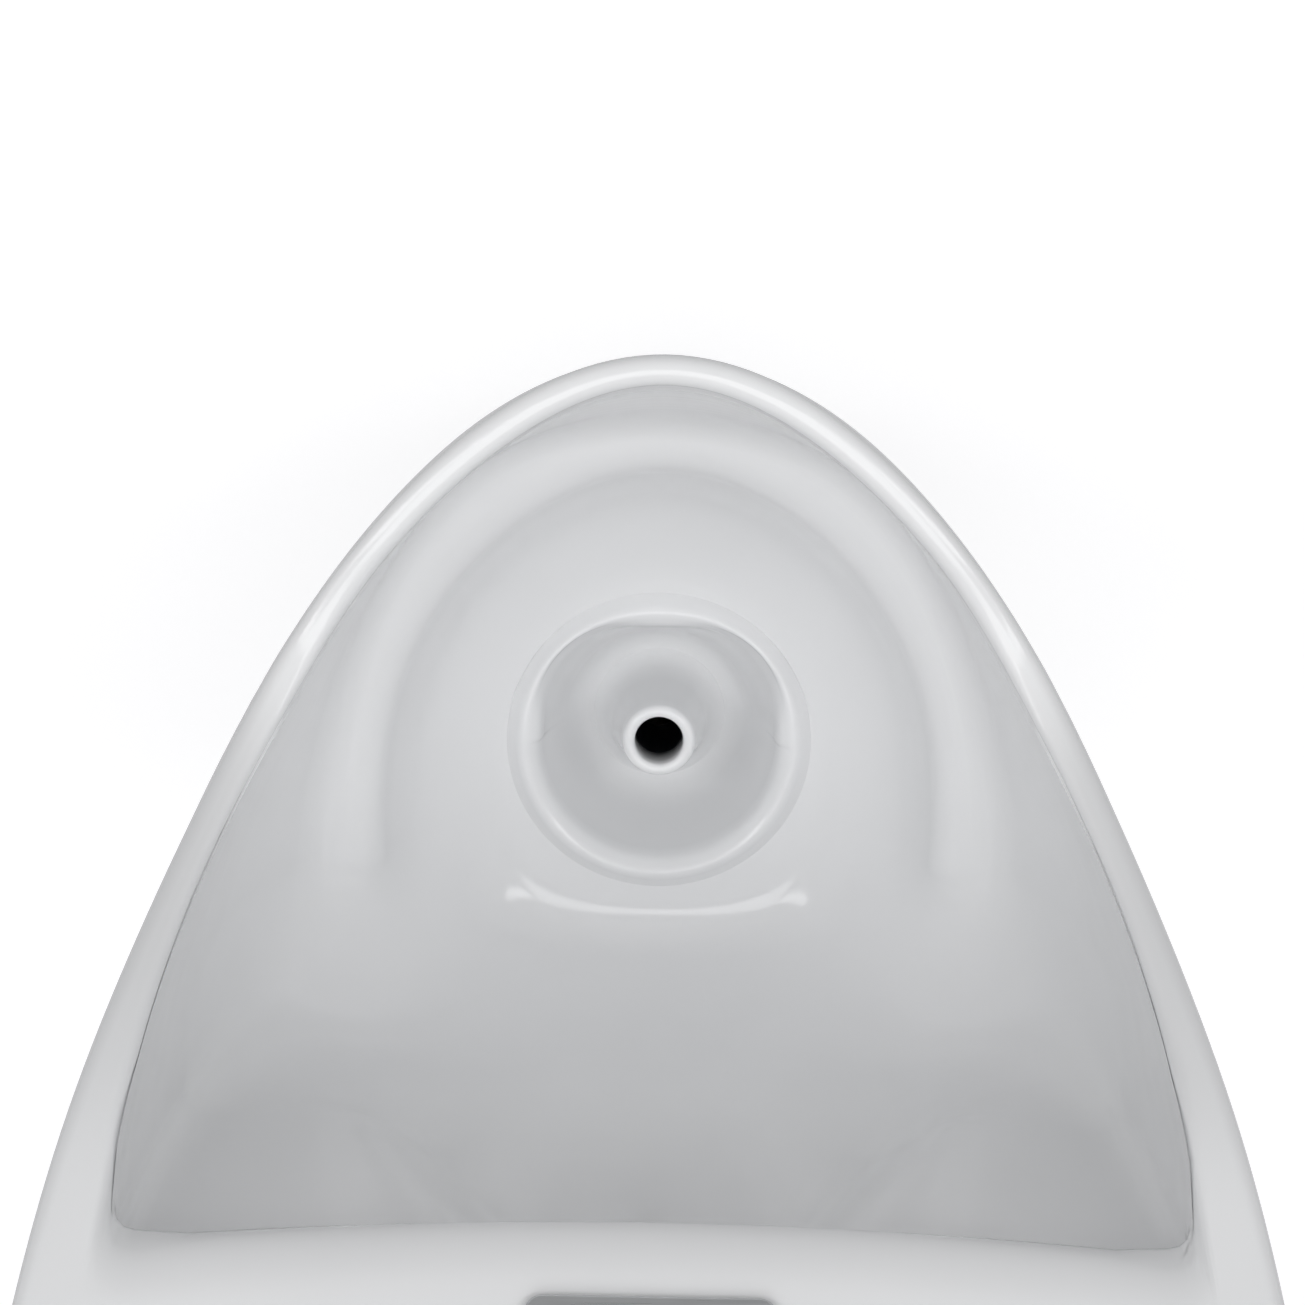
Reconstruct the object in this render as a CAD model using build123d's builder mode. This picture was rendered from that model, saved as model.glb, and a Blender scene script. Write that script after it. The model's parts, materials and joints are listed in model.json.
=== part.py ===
from build123d import *
import os
from math import cos, radians, sin

os.makedirs("parts", exist_ok=True)

# Frame: floor at Z = 0, wall at the +Y side, the user stands at the -Y side.
body_height = 950.0
half_width = 187.5
wall_y = 181.5
nose_y = -181.5
china = 13.0  # usual wall of the fired body

# Drain: the standpipe cast in the middle of the well
drain_y = -18.5
drain_z = 520.0
drain_bore_r = 9.0

# Side profile of the rim, from the level lip up the wings to the sloping hood
lip_z = 635.0
hood_angle = 50.0
hood_edge_y = 47.5
hood_edge_z = 819.0
hood_top_y = 131.5
hood_u = (cos(radians(hood_angle)), sin(radians(hood_angle)))

# Back of the bowl, under the hood
panel_y = 61.5
recess_y = 71.5
slab_back_y = recess_y + china
roof_z = 803.0

# Level sections of the outside, each one step above the last: half width, nose
level_step = 69.0
outer_sections = [
    (122, -76), (120, -80), (119, -85), (120, -92), (125, -102),
    (134, -116), (149, -134), (168, -153), (182.5, -171.5), (half_width, nose_y),
]
outer_levels = [(i * level_step, half, nose) for i, (half, nose) in enumerate(outer_sections)]
# The plan curve as shares of half width and of depth, from the nose back
plan_shape = [(0.53, 0.171), (0.78, 0.377), (0.91, 0.532), (0.982, 0.697)]


def d_shape(level, half, nose, back):
    """Level D-shaped face: one curve round the nose, one straight edge at the wall."""
    side = [(half * u, nose + (back - nose) * v) for u, v in plan_shape]
    left = [(-x, y) for x, y in side]
    with BuildSketch(Plane.XY.offset(level)) as face:
        with BuildLine():
            curve = Spline(
                (half, back), *side[::-1], (0, nose), *left, (-half, back), tangents=[(0, -1), (0, 1)]
            )
            Line(curve @ 1, curve @ 0)
        make_face()
    return face.sketch


def egg(level, nose, half, back):
    """Level egg-shaped face of the lower bowl, blunt towards the wall."""
    length = back - nose
    right = [(0.57, 0.115), (0.93, 0.38), (1.0, 0.66), (0.78, 0.93)]
    points = [(half * u, nose + length * v) for u, v in right]
    with BuildSketch(Plane.XY.offset(level)) as face:
        with BuildLine():
            Spline((0, nose), *points, (0, back), tangents=[(1, 0), (-1, 0)])
            mirror(about=Plane.YZ)
        make_face()
    return face.sketch


def arch(depth_y, half_widths, foot_z, step_z):
    """Upright pointed-arch face of the recess behind the bowl."""
    points = [(half, foot_z + i * step_z) for i, half in enumerate(half_widths)]
    with BuildSketch(Plane.XZ.offset(-depth_y)) as face:
        with BuildLine():
            right = Spline(*points)
            left = Spline(*[(-x, z) for x, z in points])
            Line(right @ 0, left @ 0)
            Line(right @ 1, left @ 1)
        make_face()
    return face.sketch


def rim_profile(drop):
    """Area above the side profile; drop lowers the profile square to the hood."""
    back, down = drop * hood_u[1], drop * hood_u[0]
    hood_rise = (hood_top_y - hood_edge_y) * hood_u[1] / hood_u[0]
    rise = [(-120, lip_z), (-78.5, lip_z + 1), (-54.5, 650), (-18.5, 709), (11.5, 770)]
    rise = [(y + back, z - down) for y, z in rise + [(hood_edge_y, hood_edge_z)]]
    with BuildSketch(Plane.YZ.offset(-half_width - 20)) as face:
        with BuildLine():
            front = Line((-220, rise[0][1]), rise[0])
            wing = Spline(*rise, tangents=[(1, 0), hood_u])
            slope = Line(wing @ 1, (hood_top_y + back, hood_edge_z + hood_rise - down))
            crown = Spline(slope @ 1, (wall_y + back, body_height - down), tangents=[hood_u, (1, 0.1)])
            Polyline(crown @ 1, (260, body_height - down), (260, 1050), (-220, 1050), front @ 0)
        make_face()
    return face.sketch


# Outside of the body: lofted pedestal and bowl, straight above the lip
with BuildPart() as outside:
    for level, half, nose in outer_levels:
        add(d_shape(level, half, nose, wall_y))
    loft()
    add(d_shape(outer_levels[-1][0], half_width, nose_y, wall_y))
    extrude(amount=body_height - outer_levels[-1][0])

# Inside of that skin, open to the floor and to the wall
with BuildPart() as inside:
    for level, half, nose in outer_levels:
        add(d_shape(level, half - china, nose + china, wall_y + 1))
    loft()
    add(d_shape(outer_levels[-1][0], half_width - china, nose_y + china, wall_y + 1))
    extrude(amount=body_height - outer_levels[-1][0])

with BuildPart() as above_rim:
    add(rim_profile(0))
    extrude(amount=2 * half_width + 40, dir=(1, 0, 0))

with BuildPart() as above_hollow:
    add(rim_profile(china))
    extrude(amount=2 * half_width + 40, dir=(1, 0, 0))

# Upper cavity, from the ledge to above the hood's edge: the ledge outline
# opens out towards the rim outline by the share given at each height.
ledge_outline = [(60, -117), (101, -64), (119, -5), (123, 35), (119, 80)]
rim_outline = [(76, -138), (126, -70), (150, -5), (157.5, 38), (159, 80)]
ledge_nose, rim_nose = -131, -169
opening_out = [(578, 0), (626, 0.52), (674, 0.78), (722, 0.91), (770, 0.975), (818, 1), (866, 1)]
ledge_z = 578.0
cavity_round = 12.0
hood_edge_arch = 7.0  # the hood's edge lies this much further back at its ends
hood_ends_x = 165.0
with BuildPart() as upper_cavity:
    for level, share in opening_out:
        side = [
            ((1 - share) * a + share * c, (1 - share) * b + share * d + drain_y)
            for (a, b), (c, d) in zip(ledge_outline, rim_outline)
        ]
        tip = (0, (1 - share) * ledge_nose + share * rim_nose + drain_y)
        with BuildSketch(Plane.XY.offset(level)):
            with BuildLine():
                curve = Spline(*side[::-1], tip, *[(-x, y) for x, y in side])
                Line(curve @ 1, curve @ 0)
            make_face()
    loft()
    # the hood hangs down over the back of the cavity, with its edge arched in plan
    with BuildSketch(Plane.XY.offset(roof_z)):
        with BuildLine():
            front = ThreePointArc(
                (-hood_ends_x, hood_edge_y + hood_edge_arch), (0, hood_edge_y),
                (hood_ends_x, hood_edge_y + hood_edge_arch),
            )
            Polyline(front @ 1, (220, hood_edge_y + hood_edge_arch), (220, 120), (-220, 120),
                     (-220, hood_edge_y + hood_edge_arch), front @ 0)
        make_face()
    extrude(amount=120, mode=Mode.SUBTRACT)
    back_corners = upper_cavity.edges().filter_by(
        lambda edge: abs(edge.center().Y - panel_y) < 1 and abs(edge.center().X) > 100
        and ledge_z + 20 < edge.center().Z
    )
    fillet(back_corners, cavity_round)
    fillet(upper_cavity.edges().filter_by(lambda edge: abs(edge.center().Z - ledge_z) < 1), cavity_round)

# Lower bowl, from just above the ledge down to the floor round the well
bowl_levels = [(580, -134, 101, 71.5), (555, -123, 94, 70.5), (535, -105, 80, 65), (drain_z, -81, 61, 50)]
with BuildPart() as lower_bowl:
    for level, nose, half, back in bowl_levels:
        add(egg(level, nose, half, back))
    loft()

# Shallow arched recess that carries the bowl up the back panel
with BuildPart() as back_recess:
    add(arch(panel_y - 0.5, [122, 117, 102, 80, 52], 570, 60))
    add(arch(recess_y, [97, 87, 69, 46, 20], 570, 60))
    loft()

# Skin left round the bowl and the well where the space under them is hollow
with BuildPart() as bowl_skin:
    for level, nose, half, back in bowl_levels:
        add(egg(level - 4, nose - china, half + china, back + china))
    loft()
    with BuildSketch(Plane.XY.offset(drain_z - 62)):
        with Locations((0, drain_y)):
            Circle(58)
    extrude(amount=62)
    with BuildSketch(Plane.XY.offset(drain_z - 14)):
        with Locations((0, drain_y)):
            Circle(72)
    extrude(amount=14)

# Bowl and cavity cut from the rimmed outside, with the edges that hands touch rounded
rim_outer_round, ledge_round, hood_round, hood_under_round = 6.0, 4.0, 8.0, 5.0
with BuildPart() as bowl_space:
    add(upper_cavity.part)
    add(lower_bowl.part)
    fillet(bowl_space.edges().filter_by(lambda edge: abs(edge.center().Z - ledge_z) < 3), ledge_round)

with BuildPart() as open_form:
    add(outside.part)
    add(above_rim.part, mode=Mode.SUBTRACT)
    outer_rim = open_form.edges().filter_by(
        lambda edge: edge.center().Z > lip_z - 3
        and abs(edge.center().Y - wall_y) > 1
        and (abs(edge.center().X) > 60 or edge.center().Y < -150)
    )
    fillet(outer_rim, rim_outer_round)
    add(bowl_space.part, mode=Mode.SUBTRACT)
    hood_front = open_form.edges().filter_by(
        lambda edge: abs(edge.center().X) < 100 and abs(edge.center().Y - hood_edge_y) < hood_edge_arch
    )
    fillet(hood_front.filter_by(lambda edge: edge.center().Z > hood_edge_z - 4), hood_round)
    hood_under = open_form.edges().filter_by(
        lambda edge: abs(edge.center().X) < 100
        and abs(edge.center().Y - hood_edge_y) < hood_edge_arch
        and abs(edge.center().Z - roof_z) < 2
    )
    fillet(hood_under, hood_under_round)

# Space for the fittings: all of the pedestal, and behind the bowl up to the hood
front_hollow_top = 545.0
with BuildPart() as service_space:
    add(inside.part)
    add(above_hollow.part, mode=Mode.SUBTRACT)
    with BuildSketch(Plane.XY.offset(front_hollow_top)):
        with Locations((0, slab_back_y - 200)):
            Rectangle(420, 400)
    extrude(amount=500, mode=Mode.SUBTRACT)
    add(bowl_skin.part, mode=Mode.SUBTRACT)

# Shelves inside the back of the body, where the wall brackets bolt up
lug_x, lug_y, lug_z = 148.0, 155.0, 700.0
lug_thickness = 14.0

# Side screws through the foot of the pedestal
foot_y, foot_z = 70.0, 42.0
foot_face_x = 110.5

# Sensor opening in the hood
plate_start, plate_length, plate_width = 20.0, 105.0, 72.0
plate_middle = plate_start + plate_length / 2
hood_plane = Plane(
    origin=(0, hood_edge_y + plate_middle * hood_u[0], hood_edge_z + plate_middle * hood_u[1]),
    x_dir=(1, 0, 0),
    z_dir=(0, -hood_u[1], hood_u[0]),
)
housing_width, housing_length, housing_depth = 56.0, 88.0, 45.0

# Flush inlet through the back slab
inlet_z = 790.0
inlet_hole_r = 14.0

# Well and standpipe, turned about the drain: radius, height above the ring
well_cut = [(0, 2), (45, 2), (44, -6), (38, -24), (35, -32), (34, -38), (29, -43), (0, -43)]
pipe_foot_r, pipe_top_r = 19.5, 13.5
spigot_r, spigot_bore_r, spigot_end = 24.0, 18.0, 420.0

# Mouth of the well: a rounded square towards the nose, running into the round well below
mouth_half, mouth_corner, mouth_depth = 45.0, 24.0, 22.0
with BuildPart() as well_mouth:
    for level, half, corner in (
        (drain_z + 8, mouth_half, mouth_corner), (drain_z - mouth_depth, 39, 38),
    ):
        with BuildSketch(Plane.XY.offset(level)):
            with BuildLine():
                side_run = Line((half, drain_y), (half, drain_y - half + corner))
                turn = RadiusArc(side_run @ 1, (half - corner, drain_y - half), corner)
                Line(turn @ 1, (0, drain_y - half))
                mirror(about=Plane.YZ)
                ThreePointArc((half, drain_y), (0, drain_y + half), (-half, drain_y))
            make_face()
    loft(ruled=True)

with BuildPart() as urinal_body:
    add(open_form.part)
    add(service_space.part, mode=Mode.SUBTRACT)
    for side in (1, -1):
        with BuildSketch(Plane.XY.offset(lug_z)):
            with Locations((side * (lug_x + 6), lug_y)):
                Rectangle(42, 36)
        extrude(amount=lug_thickness)
    add(above_rim.part, mode=Mode.SUBTRACT)
    add(back_recess.part, mode=Mode.SUBTRACT)
    # rolled bead round the well
    with BuildSketch(Plane.XZ.offset(-drain_y)):
        with BuildLine():
            Polyline((55, drain_z - 3), (43, drain_z - 3), (43, drain_z + 1))
            ThreePointArc((43, drain_z + 1), (49, drain_z + 4.5), (55, drain_z))
            Line((55, drain_z), (55, drain_z - 3))
        make_face()
    revolve(axis=Axis((0, drain_y, 0), (0, 0, 1)))
    # the well
    with BuildSketch(Plane.XZ.offset(-drain_y)):
        with BuildLine():
            Polyline(*[(r, drain_z + h + (3 if h == 2 else 0)) for r, h in well_cut], close=True)
        make_face()
    revolve(axis=Axis((0, drain_y, 0), (0, 0, 1)), mode=Mode.SUBTRACT)
    add(well_mouth.part, mode=Mode.SUBTRACT)
    # standpipe in the well, collar at its foot, spigot under the body
    with BuildSketch(Plane.XZ.offset(-drain_y)):
        with BuildLine():
            Polyline(
                (0, drain_z - 44), (24, drain_z - 44), (pipe_foot_r, drain_z - 38),
                (pipe_top_r, drain_z - 6), (pipe_top_r, drain_z - 2),
            )
            ThreePointArc(
                (pipe_top_r, drain_z - 2), (pipe_top_r - 0.6, drain_z - 0.6), (pipe_top_r - 2, drain_z)
            )
            Polyline((pipe_top_r - 2, drain_z), (0, drain_z), (0, drain_z - 44))
        make_face()
    revolve(axis=Axis((0, drain_y, 0), (0, 0, 1)))
    with Locations((0, drain_y, spigot_end)):
        Cylinder(spigot_r, drain_z - 50 - spigot_end, align=(Align.CENTER, Align.CENTER, Align.MIN))
        Cylinder(
            spigot_bore_r, 44, align=(Align.CENTER, Align.CENTER, Align.MIN), mode=Mode.SUBTRACT
        )
        Cylinder(
            drain_bore_r, 120, align=(Align.CENTER, Align.CENTER, Align.MIN), mode=Mode.SUBTRACT
        )
    # sensor opening square to the hood
    with BuildSketch(hood_plane.offset(5)):
        RectangleRounded(housing_width + 2, housing_length + 2, 4)
    extrude(amount=-50, mode=Mode.SUBTRACT)
    # flush inlet hole
    with Locations(Plane(origin=(0, slab_back_y, inlet_z), z_dir=(0, 1, 0))):
        Cylinder(inlet_hole_r, 40, mode=Mode.SUBTRACT)
    # bolt holes in the shelves
    with Locations((lug_x, lug_y, lug_z), (-lug_x, lug_y, lug_z)):
        Cylinder(4.5, 40, mode=Mode.SUBTRACT)
    # side screw holes with a flat seat for the caps
    for side in (1, -1):
        with Locations(Plane(origin=(side * foot_face_x, foot_y, foot_z), z_dir=(side, 0, 0))):
            Cylinder(4.5, 60, mode=Mode.SUBTRACT)
            Cylinder(10, 20, align=(Align.CENTER, Align.CENTER, Align.MIN), mode=Mode.SUBTRACT)
urinal_body.part.label = "urinal_body"
export_step(urinal_body.part, "parts/urinal_body.step")

# Everything under the hood is set out from the hood plane: x across, y up the slope, z out
plate_corner = 5.0
gasket_thickness = 1.0
plate_thickness = 2.5
window_size = (36.0, 20.0)
window_y = 14.0
plate_screw_y = 39.0


def on_hood(x, y, z):
    """Plane parallel to the hood with its origin moved by the given offsets."""
    return Plane(hood_plane.from_local_coords(Vector(x, y, z)), hood_plane.x_dir, hood_plane.z_dir)


with BuildPart() as plate_gasket:
    with BuildSketch(hood_plane):
        RectangleRounded(plate_width - 2, plate_length - 2, plate_corner - 1)
        RectangleRounded(housing_width + 2, housing_length + 2, 4, mode=Mode.SUBTRACT)
    extrude(amount=gasket_thickness)
plate_gasket.part.label = "plate_gasket"
export_step(plate_gasket.part, "parts/plate_gasket.step")

with BuildPart() as sensor_plate:
    with BuildSketch(on_hood(0, 0, gasket_thickness)):
        RectangleRounded(plate_width, plate_length, plate_corner)
    extrude(amount=plate_thickness)
    chamfer(sensor_plate.faces().sort_by(Axis((0, 0, 0), hood_plane.z_dir))[-1].edges(), 0.8)
    with BuildSketch(on_hood(0, window_y, gasket_thickness)):
        RectangleRounded(window_size[0], window_size[1], 6)
    extrude(amount=plate_thickness, mode=Mode.SUBTRACT)
    for y in (plate_screw_y, -plate_screw_y):
        with Locations(on_hood(0, y, gasket_thickness + plate_thickness)):
            CounterSinkHole(1.8, 3.4, plate_thickness)
sensor_plate.part.label = "sensor_plate"
export_step(sensor_plate.part, "parts/sensor_plate.step")

# Dark lens in the plate, on a rim that lies behind it
with BuildPart() as sensor_window:
    with BuildSketch(on_hood(0, window_y, gasket_thickness)):
        RectangleRounded(window_size[0] - 0.4, window_size[1] - 0.4, 5.8)
    extrude(amount=plate_thickness - 0.3)
    with BuildSketch(on_hood(0, window_y, gasket_thickness)):
        RectangleRounded(window_size[0] + 5, window_size[1] + 5, 7)
    extrude(amount=-1.5)
sensor_window.part.label = "sensor_window"
export_step(sensor_window.part, "parts/sensor_window.step")

# Plastic housing behind the plate: an open tray with two screw pillars
housing_wall = 2.0
with BuildPart() as sensor_housing:
    with BuildSketch(on_hood(0, 0, gasket_thickness)):
        RectangleRounded(housing_width, housing_length, 3.5)
    extrude(amount=-housing_depth)
    with BuildSketch(on_hood(0, 0, gasket_thickness)):
        RectangleRounded(housing_width - 2 * housing_wall, housing_length - 2 * housing_wall, 2)
    extrude(amount=housing_wall - housing_depth, mode=Mode.SUBTRACT)
    for y in (plate_screw_y, -plate_screw_y):
        with BuildSketch(on_hood(0, y, gasket_thickness)):
            Rectangle(9, 8)
        extrude(amount=1 - housing_depth)
        with Locations(on_hood(0, y, gasket_thickness)):
            Hole(1.55, 14)
    # window in the back wall for the leads
    with BuildSketch(on_hood(0, 0, gasket_thickness - housing_depth)):
        with Locations((-14, 0), (14, 0)):
            Circle(2.3)
    extrude(amount=housing_wall, mode=Mode.SUBTRACT)
sensor_housing.part.label = "sensor_housing"
export_step(sensor_housing.part, "parts/sensor_housing.step")

with BuildPart() as plate_screws:
    for y in (plate_screw_y, -plate_screw_y):
        with BuildSketch(on_hood(0, y, gasket_thickness + plate_thickness - 0.1)):
            Circle(3.3)
        extrude(amount=-1.7, taper=45)
        with BuildSketch(on_hood(0, y, gasket_thickness + plate_thickness - 1.6)):
            Circle(1.5)
        extrude(amount=-12)
        with BuildSketch(on_hood(0, y, gasket_thickness + plate_thickness - 0.1)):
            Rectangle(4.4, 0.8)
        extrude(amount=-0.9, mode=Mode.SUBTRACT)
plate_screws.part.label = "plate_screws"
export_step(plate_screws.part, "parts/plate_screws.step")

# Electronics board with its two infrared diodes looking out through the lens
board_z = -9.0
with BuildPart() as circuit_board:
    with BuildSketch(on_hood(0, window_y - 9, board_z)):
        Rectangle(housing_width - 2 * housing_wall, 46)
    extrude(amount=-1.6)
    with BuildSketch(on_hood(0, window_y - 24, board_z)):
        Rectangle(12, 9)
        with Locations((17, 2), (-17, 2)):
            Circle(3)
    extrude(amount=3)
circuit_board.part.label = "circuit_board"
export_step(circuit_board.part, "parts/circuit_board.step")

with BuildPart() as infrared_diodes:
    for x in (-9, 9):
        with BuildSketch(on_hood(x, window_y, board_z)):
            Circle(2.9)
        extrude(amount=1)
        with BuildSketch(on_hood(x, window_y, board_z)):
            Circle(2.5)
        extrude(amount=6.5)
infrared_diodes.part.label = "infrared_diodes"
export_step(infrared_diodes.part, "parts/infrared_diodes.step")

# Battery case on the back of the slab: a tray of four cells under a lid
case_x, case_z = -96.0, 735.0
case_size = (66.0, 70.0, 21.0)
cell_r, cell_length, cell_pitch = 7.1, 50.0, 15.6
case_plane = Plane(origin=(case_x, slab_back_y, case_z), x_dir=(1, 0, 0), z_dir=(0, 1, 0))
with BuildPart() as battery_case:
    with BuildSketch(case_plane):
        RectangleRounded(case_size[0], case_size[1], 4)
    extrude(amount=case_size[2])
    with BuildSketch(case_plane.offset(2)):
        Rectangle(cell_length + 8, case_size[1] - 6)
    extrude(amount=case_size[2], mode=Mode.SUBTRACT)
battery_case.part.label = "battery_case"
export_step(battery_case.part, "parts/battery_case.step")

with BuildPart() as battery_lid:
    with BuildSketch(case_plane.offset(case_size[2])):
        RectangleRounded(case_size[0], case_size[1], 4)
    extrude(amount=2)
    with BuildSketch(case_plane.offset(case_size[2] + 2)):
        with GridLocations(0, 6, 1, 5):
            SlotOverall(24, 2.4)
    extrude(amount=0.8)
battery_lid.part.label = "battery_lid"
export_step(battery_lid.part, "parts/battery_lid.step")

with BuildPart() as battery_cells:
    for i in range(4):
        cell_z = case_z + (i - 1.5) * cell_pitch
        cell_end = (case_x - cell_length / 2, slab_back_y + 2 + cell_r, cell_z)
        end_plane = Plane(origin=cell_end, z_dir=(1, 0, 0))
        with BuildSketch(end_plane):
            Circle(cell_r)
        extrude(amount=cell_length - 1.2)
        with BuildSketch(end_plane.offset(cell_length - 1.2)):
            Circle(2.7)
        extrude(amount=1.2)
battery_cells.part.label = "battery_cells"
export_step(battery_cells.part, "parts/battery_cells.step")

# Water line: stop valve at the wall, pipe up to the solenoid valve, flush pipe to the nozzle
line_x, line_y = 95.0, 144.0
stop_z = 620.0
plug_r, plug_play = 8.0, 0.05
pipe_r, pipe_bore_r = 7.5, 6.3
stop_plane = Plane(origin=(line_x, 128, stop_z), x_dir=(1, 0, 0), z_dir=(0, 1, 0))
with BuildPart() as stop_valve_body:
    with BuildSketch(stop_plane):
        Circle(15)
    extrude(amount=32)
    with BuildSketch(stop_plane.offset(30)):
        RegularPolygon(16.5, 6)
    extrude(amount=8)
    with BuildSketch(stop_plane.offset(38)):
        Circle(10.4)
    extrude(amount=wall_y - 128 - 38)
    with BuildSketch(Plane(origin=(line_x, line_y, stop_z))):
        Circle(11)
    extrude(amount=26)
    with BuildSketch(Plane(origin=(line_x, line_y, stop_z + 26))):
        Circle(9)
    extrude(amount=8)
    with BuildSketch(stop_plane):
        Circle(plug_r + plug_play)
    extrude(amount=28, mode=Mode.SUBTRACT)
    with BuildSketch(stop_plane):
        Circle(6)
    extrude(amount=wall_y - 128, mode=Mode.SUBTRACT)
    with BuildSketch(Plane(origin=(line_x, line_y, stop_z))):
        Circle(6)
    extrude(amount=40, mode=Mode.SUBTRACT)
stop_valve_body.part.label = "stop_valve_body"
export_step(stop_valve_body.part, "parts/stop_valve_body.step")

# Plug that turns in the valve body: a blind hole from behind meets one port on top
with BuildPart() as stop_valve_plug:
    with BuildSketch(stop_plane.offset(-3.5)):
        Circle(plug_r)
    extrude(amount=31)
    with BuildSketch(stop_plane.offset(-3.5)):
        Rectangle(8, 8)
    extrude(amount=-8)
    with BuildSketch(stop_plane.offset(8)):
        Circle(5)
    extrude(amount=30, mode=Mode.SUBTRACT)
    with BuildSketch(Plane(origin=(line_x, line_y, stop_z))):
        Circle(5)
    extrude(amount=12, mode=Mode.SUBTRACT)
    with Locations(stop_plane.offset(-11.5).rotated((180, 0, 0))):
        Hole(2, 9)
stop_valve_plug.part.label = "stop_valve_plug"
export_step(stop_valve_plug.part, "parts/stop_valve_plug.step")

with BuildPart() as gland_nut:
    with BuildSketch(stop_plane):
        RegularPolygon(12.5, 6)
        Circle(plug_r + 0.3, mode=Mode.SUBTRACT)
    extrude(amount=-3)
gland_nut.part.label = "gland_nut"
export_step(gland_nut.part, "parts/gland_nut.step")

# Lever on the plug's square end
with BuildPart() as stop_valve_lever:
    with BuildSketch(stop_plane.offset(-11.5)):
        Circle(9)
        with Locations((0, -20)):
            SlotOverall(54, 11, rotation=90)
        Rectangle(8, 8, mode=Mode.SUBTRACT)
    extrude(amount=7.5)
    fillet(stop_valve_lever.edges().filter_by(GeomType.CIRCLE).sort_by(Axis.Z)[:2], 1)
stop_valve_lever.part.label = "stop_valve_lever"
export_step(stop_valve_lever.part, "parts/stop_valve_lever.step")

with BuildPart() as lever_screw:
    with BuildSketch(stop_plane.offset(-11.5)):
        Circle(6.5)
    extrude(amount=-2.6)
    fillet(lever_screw.edges().sort_by(Axis.Y)[0], 1.2)
    with BuildSketch(stop_plane.offset(-11.5)):
        Circle(1.95)
    extrude(amount=8)
    with BuildSketch(stop_plane.offset(-14.1)):
        Rectangle(9, 1)
    extrude(amount=1.2, mode=Mode.SUBTRACT)
lever_screw.part.label = "lever_screw"
export_step(lever_screw.part, "parts/lever_screw.step")

# Solenoid valve: brass body on the line, diaphragm, bonnet and coil on its -X side
valve_z = 735.0
valve_half = 22.0
side_plane = Plane(origin=(line_x, line_y, valve_z), x_dir=(0, 1, 0), z_dir=(-1, 0, 0))
diaphragm_r = 17.0
with BuildPart() as valve_body:
    with BuildSketch(Plane(origin=(line_x, line_y, valve_z - valve_half))):
        Circle(11)
    extrude(amount=2 * valve_half)
    for level in (valve_z - valve_half - 7, valve_z + valve_half):
        with BuildSketch(Plane(origin=(line_x, line_y, level))):
            Circle(9.5)
        extrude(amount=7)
    with BuildSketch(side_plane):
        Circle(20)
    extrude(amount=23)
    with BuildSketch(side_plane.offset(21)):
        Circle(diaphragm_r)
        Circle(7, mode=Mode.SUBTRACT)
    extrude(amount=-7, mode=Mode.SUBTRACT)
    with BuildSketch(side_plane.offset(21)):
        Circle(diaphragm_r)
    extrude(amount=2, mode=Mode.SUBTRACT)
    with BuildSketch(side_plane):
        Circle(4.5)
    extrude(amount=21, mode=Mode.SUBTRACT)
    with BuildSketch(side_plane.offset(14)):
        with Locations((0, -12)):
            Circle(2.6)
    extrude(amount=-14, mode=Mode.SUBTRACT)
    with BuildSketch(Plane(origin=(line_x, line_y, valve_z - valve_half - 7))):
        Circle(pipe_bore_r)
    extrude(amount=valve_half, mode=Mode.SUBTRACT)
    with BuildSketch(Plane(origin=(line_x, line_y, valve_z))):
        Circle(4.5)
    extrude(amount=valve_half, mode=Mode.SUBTRACT)
    with BuildSketch(Plane(origin=(line_x, line_y, valve_z + 10))):
        Circle(pipe_bore_r)
    extrude(amount=valve_half, mode=Mode.SUBTRACT)
valve_body.part.label = "valve_body"
export_step(valve_body.part, "parts/valve_body.step")

with BuildPart() as valve_diaphragm:
    with BuildSketch(side_plane.offset(21)):
        Circle(diaphragm_r - 0.05)
    extrude(amount=2)
    with BuildSketch(side_plane.offset(21)):
        Circle(4.2)
    extrude(amount=-1.5)
valve_diaphragm.part.label = "valve_diaphragm"
export_step(valve_diaphragm.part, "parts/valve_diaphragm.step")

# Bonnet with the core tube in one brass piece
core_r, core_play = 4.0, 0.05
core_start, core_length = 26.0, 34.0
with BuildPart() as valve_bonnet:
    with BuildSketch(side_plane.offset(23)):
        Circle(20)
    extrude(amount=5)
    with BuildSketch(side_plane.offset(28)):
        Circle(5.6)
    extrude(amount=core_length)
    with BuildSketch(side_plane.offset(core_start)):
        Circle(core_r + core_play)
    extrude(amount=core_length - 2, mode=Mode.SUBTRACT)
    with BuildSketch(side_plane.offset(23)):
        Circle(1.2)
    extrude(amount=4, mode=Mode.SUBTRACT)
    for turn in (45, 135, 225, 315):
        with BuildSketch(side_plane.offset(23)):
            with PolarLocations(18.2, 1, turn):
                Circle(1.1)
        extrude(amount=5, mode=Mode.SUBTRACT)
valve_bonnet.part.label = "valve_bonnet"
export_step(valve_bonnet.part, "parts/valve_bonnet.step")

with BuildPart() as bonnet_screws:
    for turn in (45, 135, 225, 315):
        with BuildSketch(side_plane.offset(28)):
            with PolarLocations(18.2, 1, turn):
                Circle(1.7)
        extrude(amount=2)
        with BuildSketch(side_plane.offset(28)):
            with PolarLocations(18.2, 1, turn):
                Circle(1.1)
        extrude(amount=-5)
bonnet_screws.part.label = "bonnet_screws"
export_step(bonnet_screws.part, "parts/bonnet_screws.step")

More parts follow.
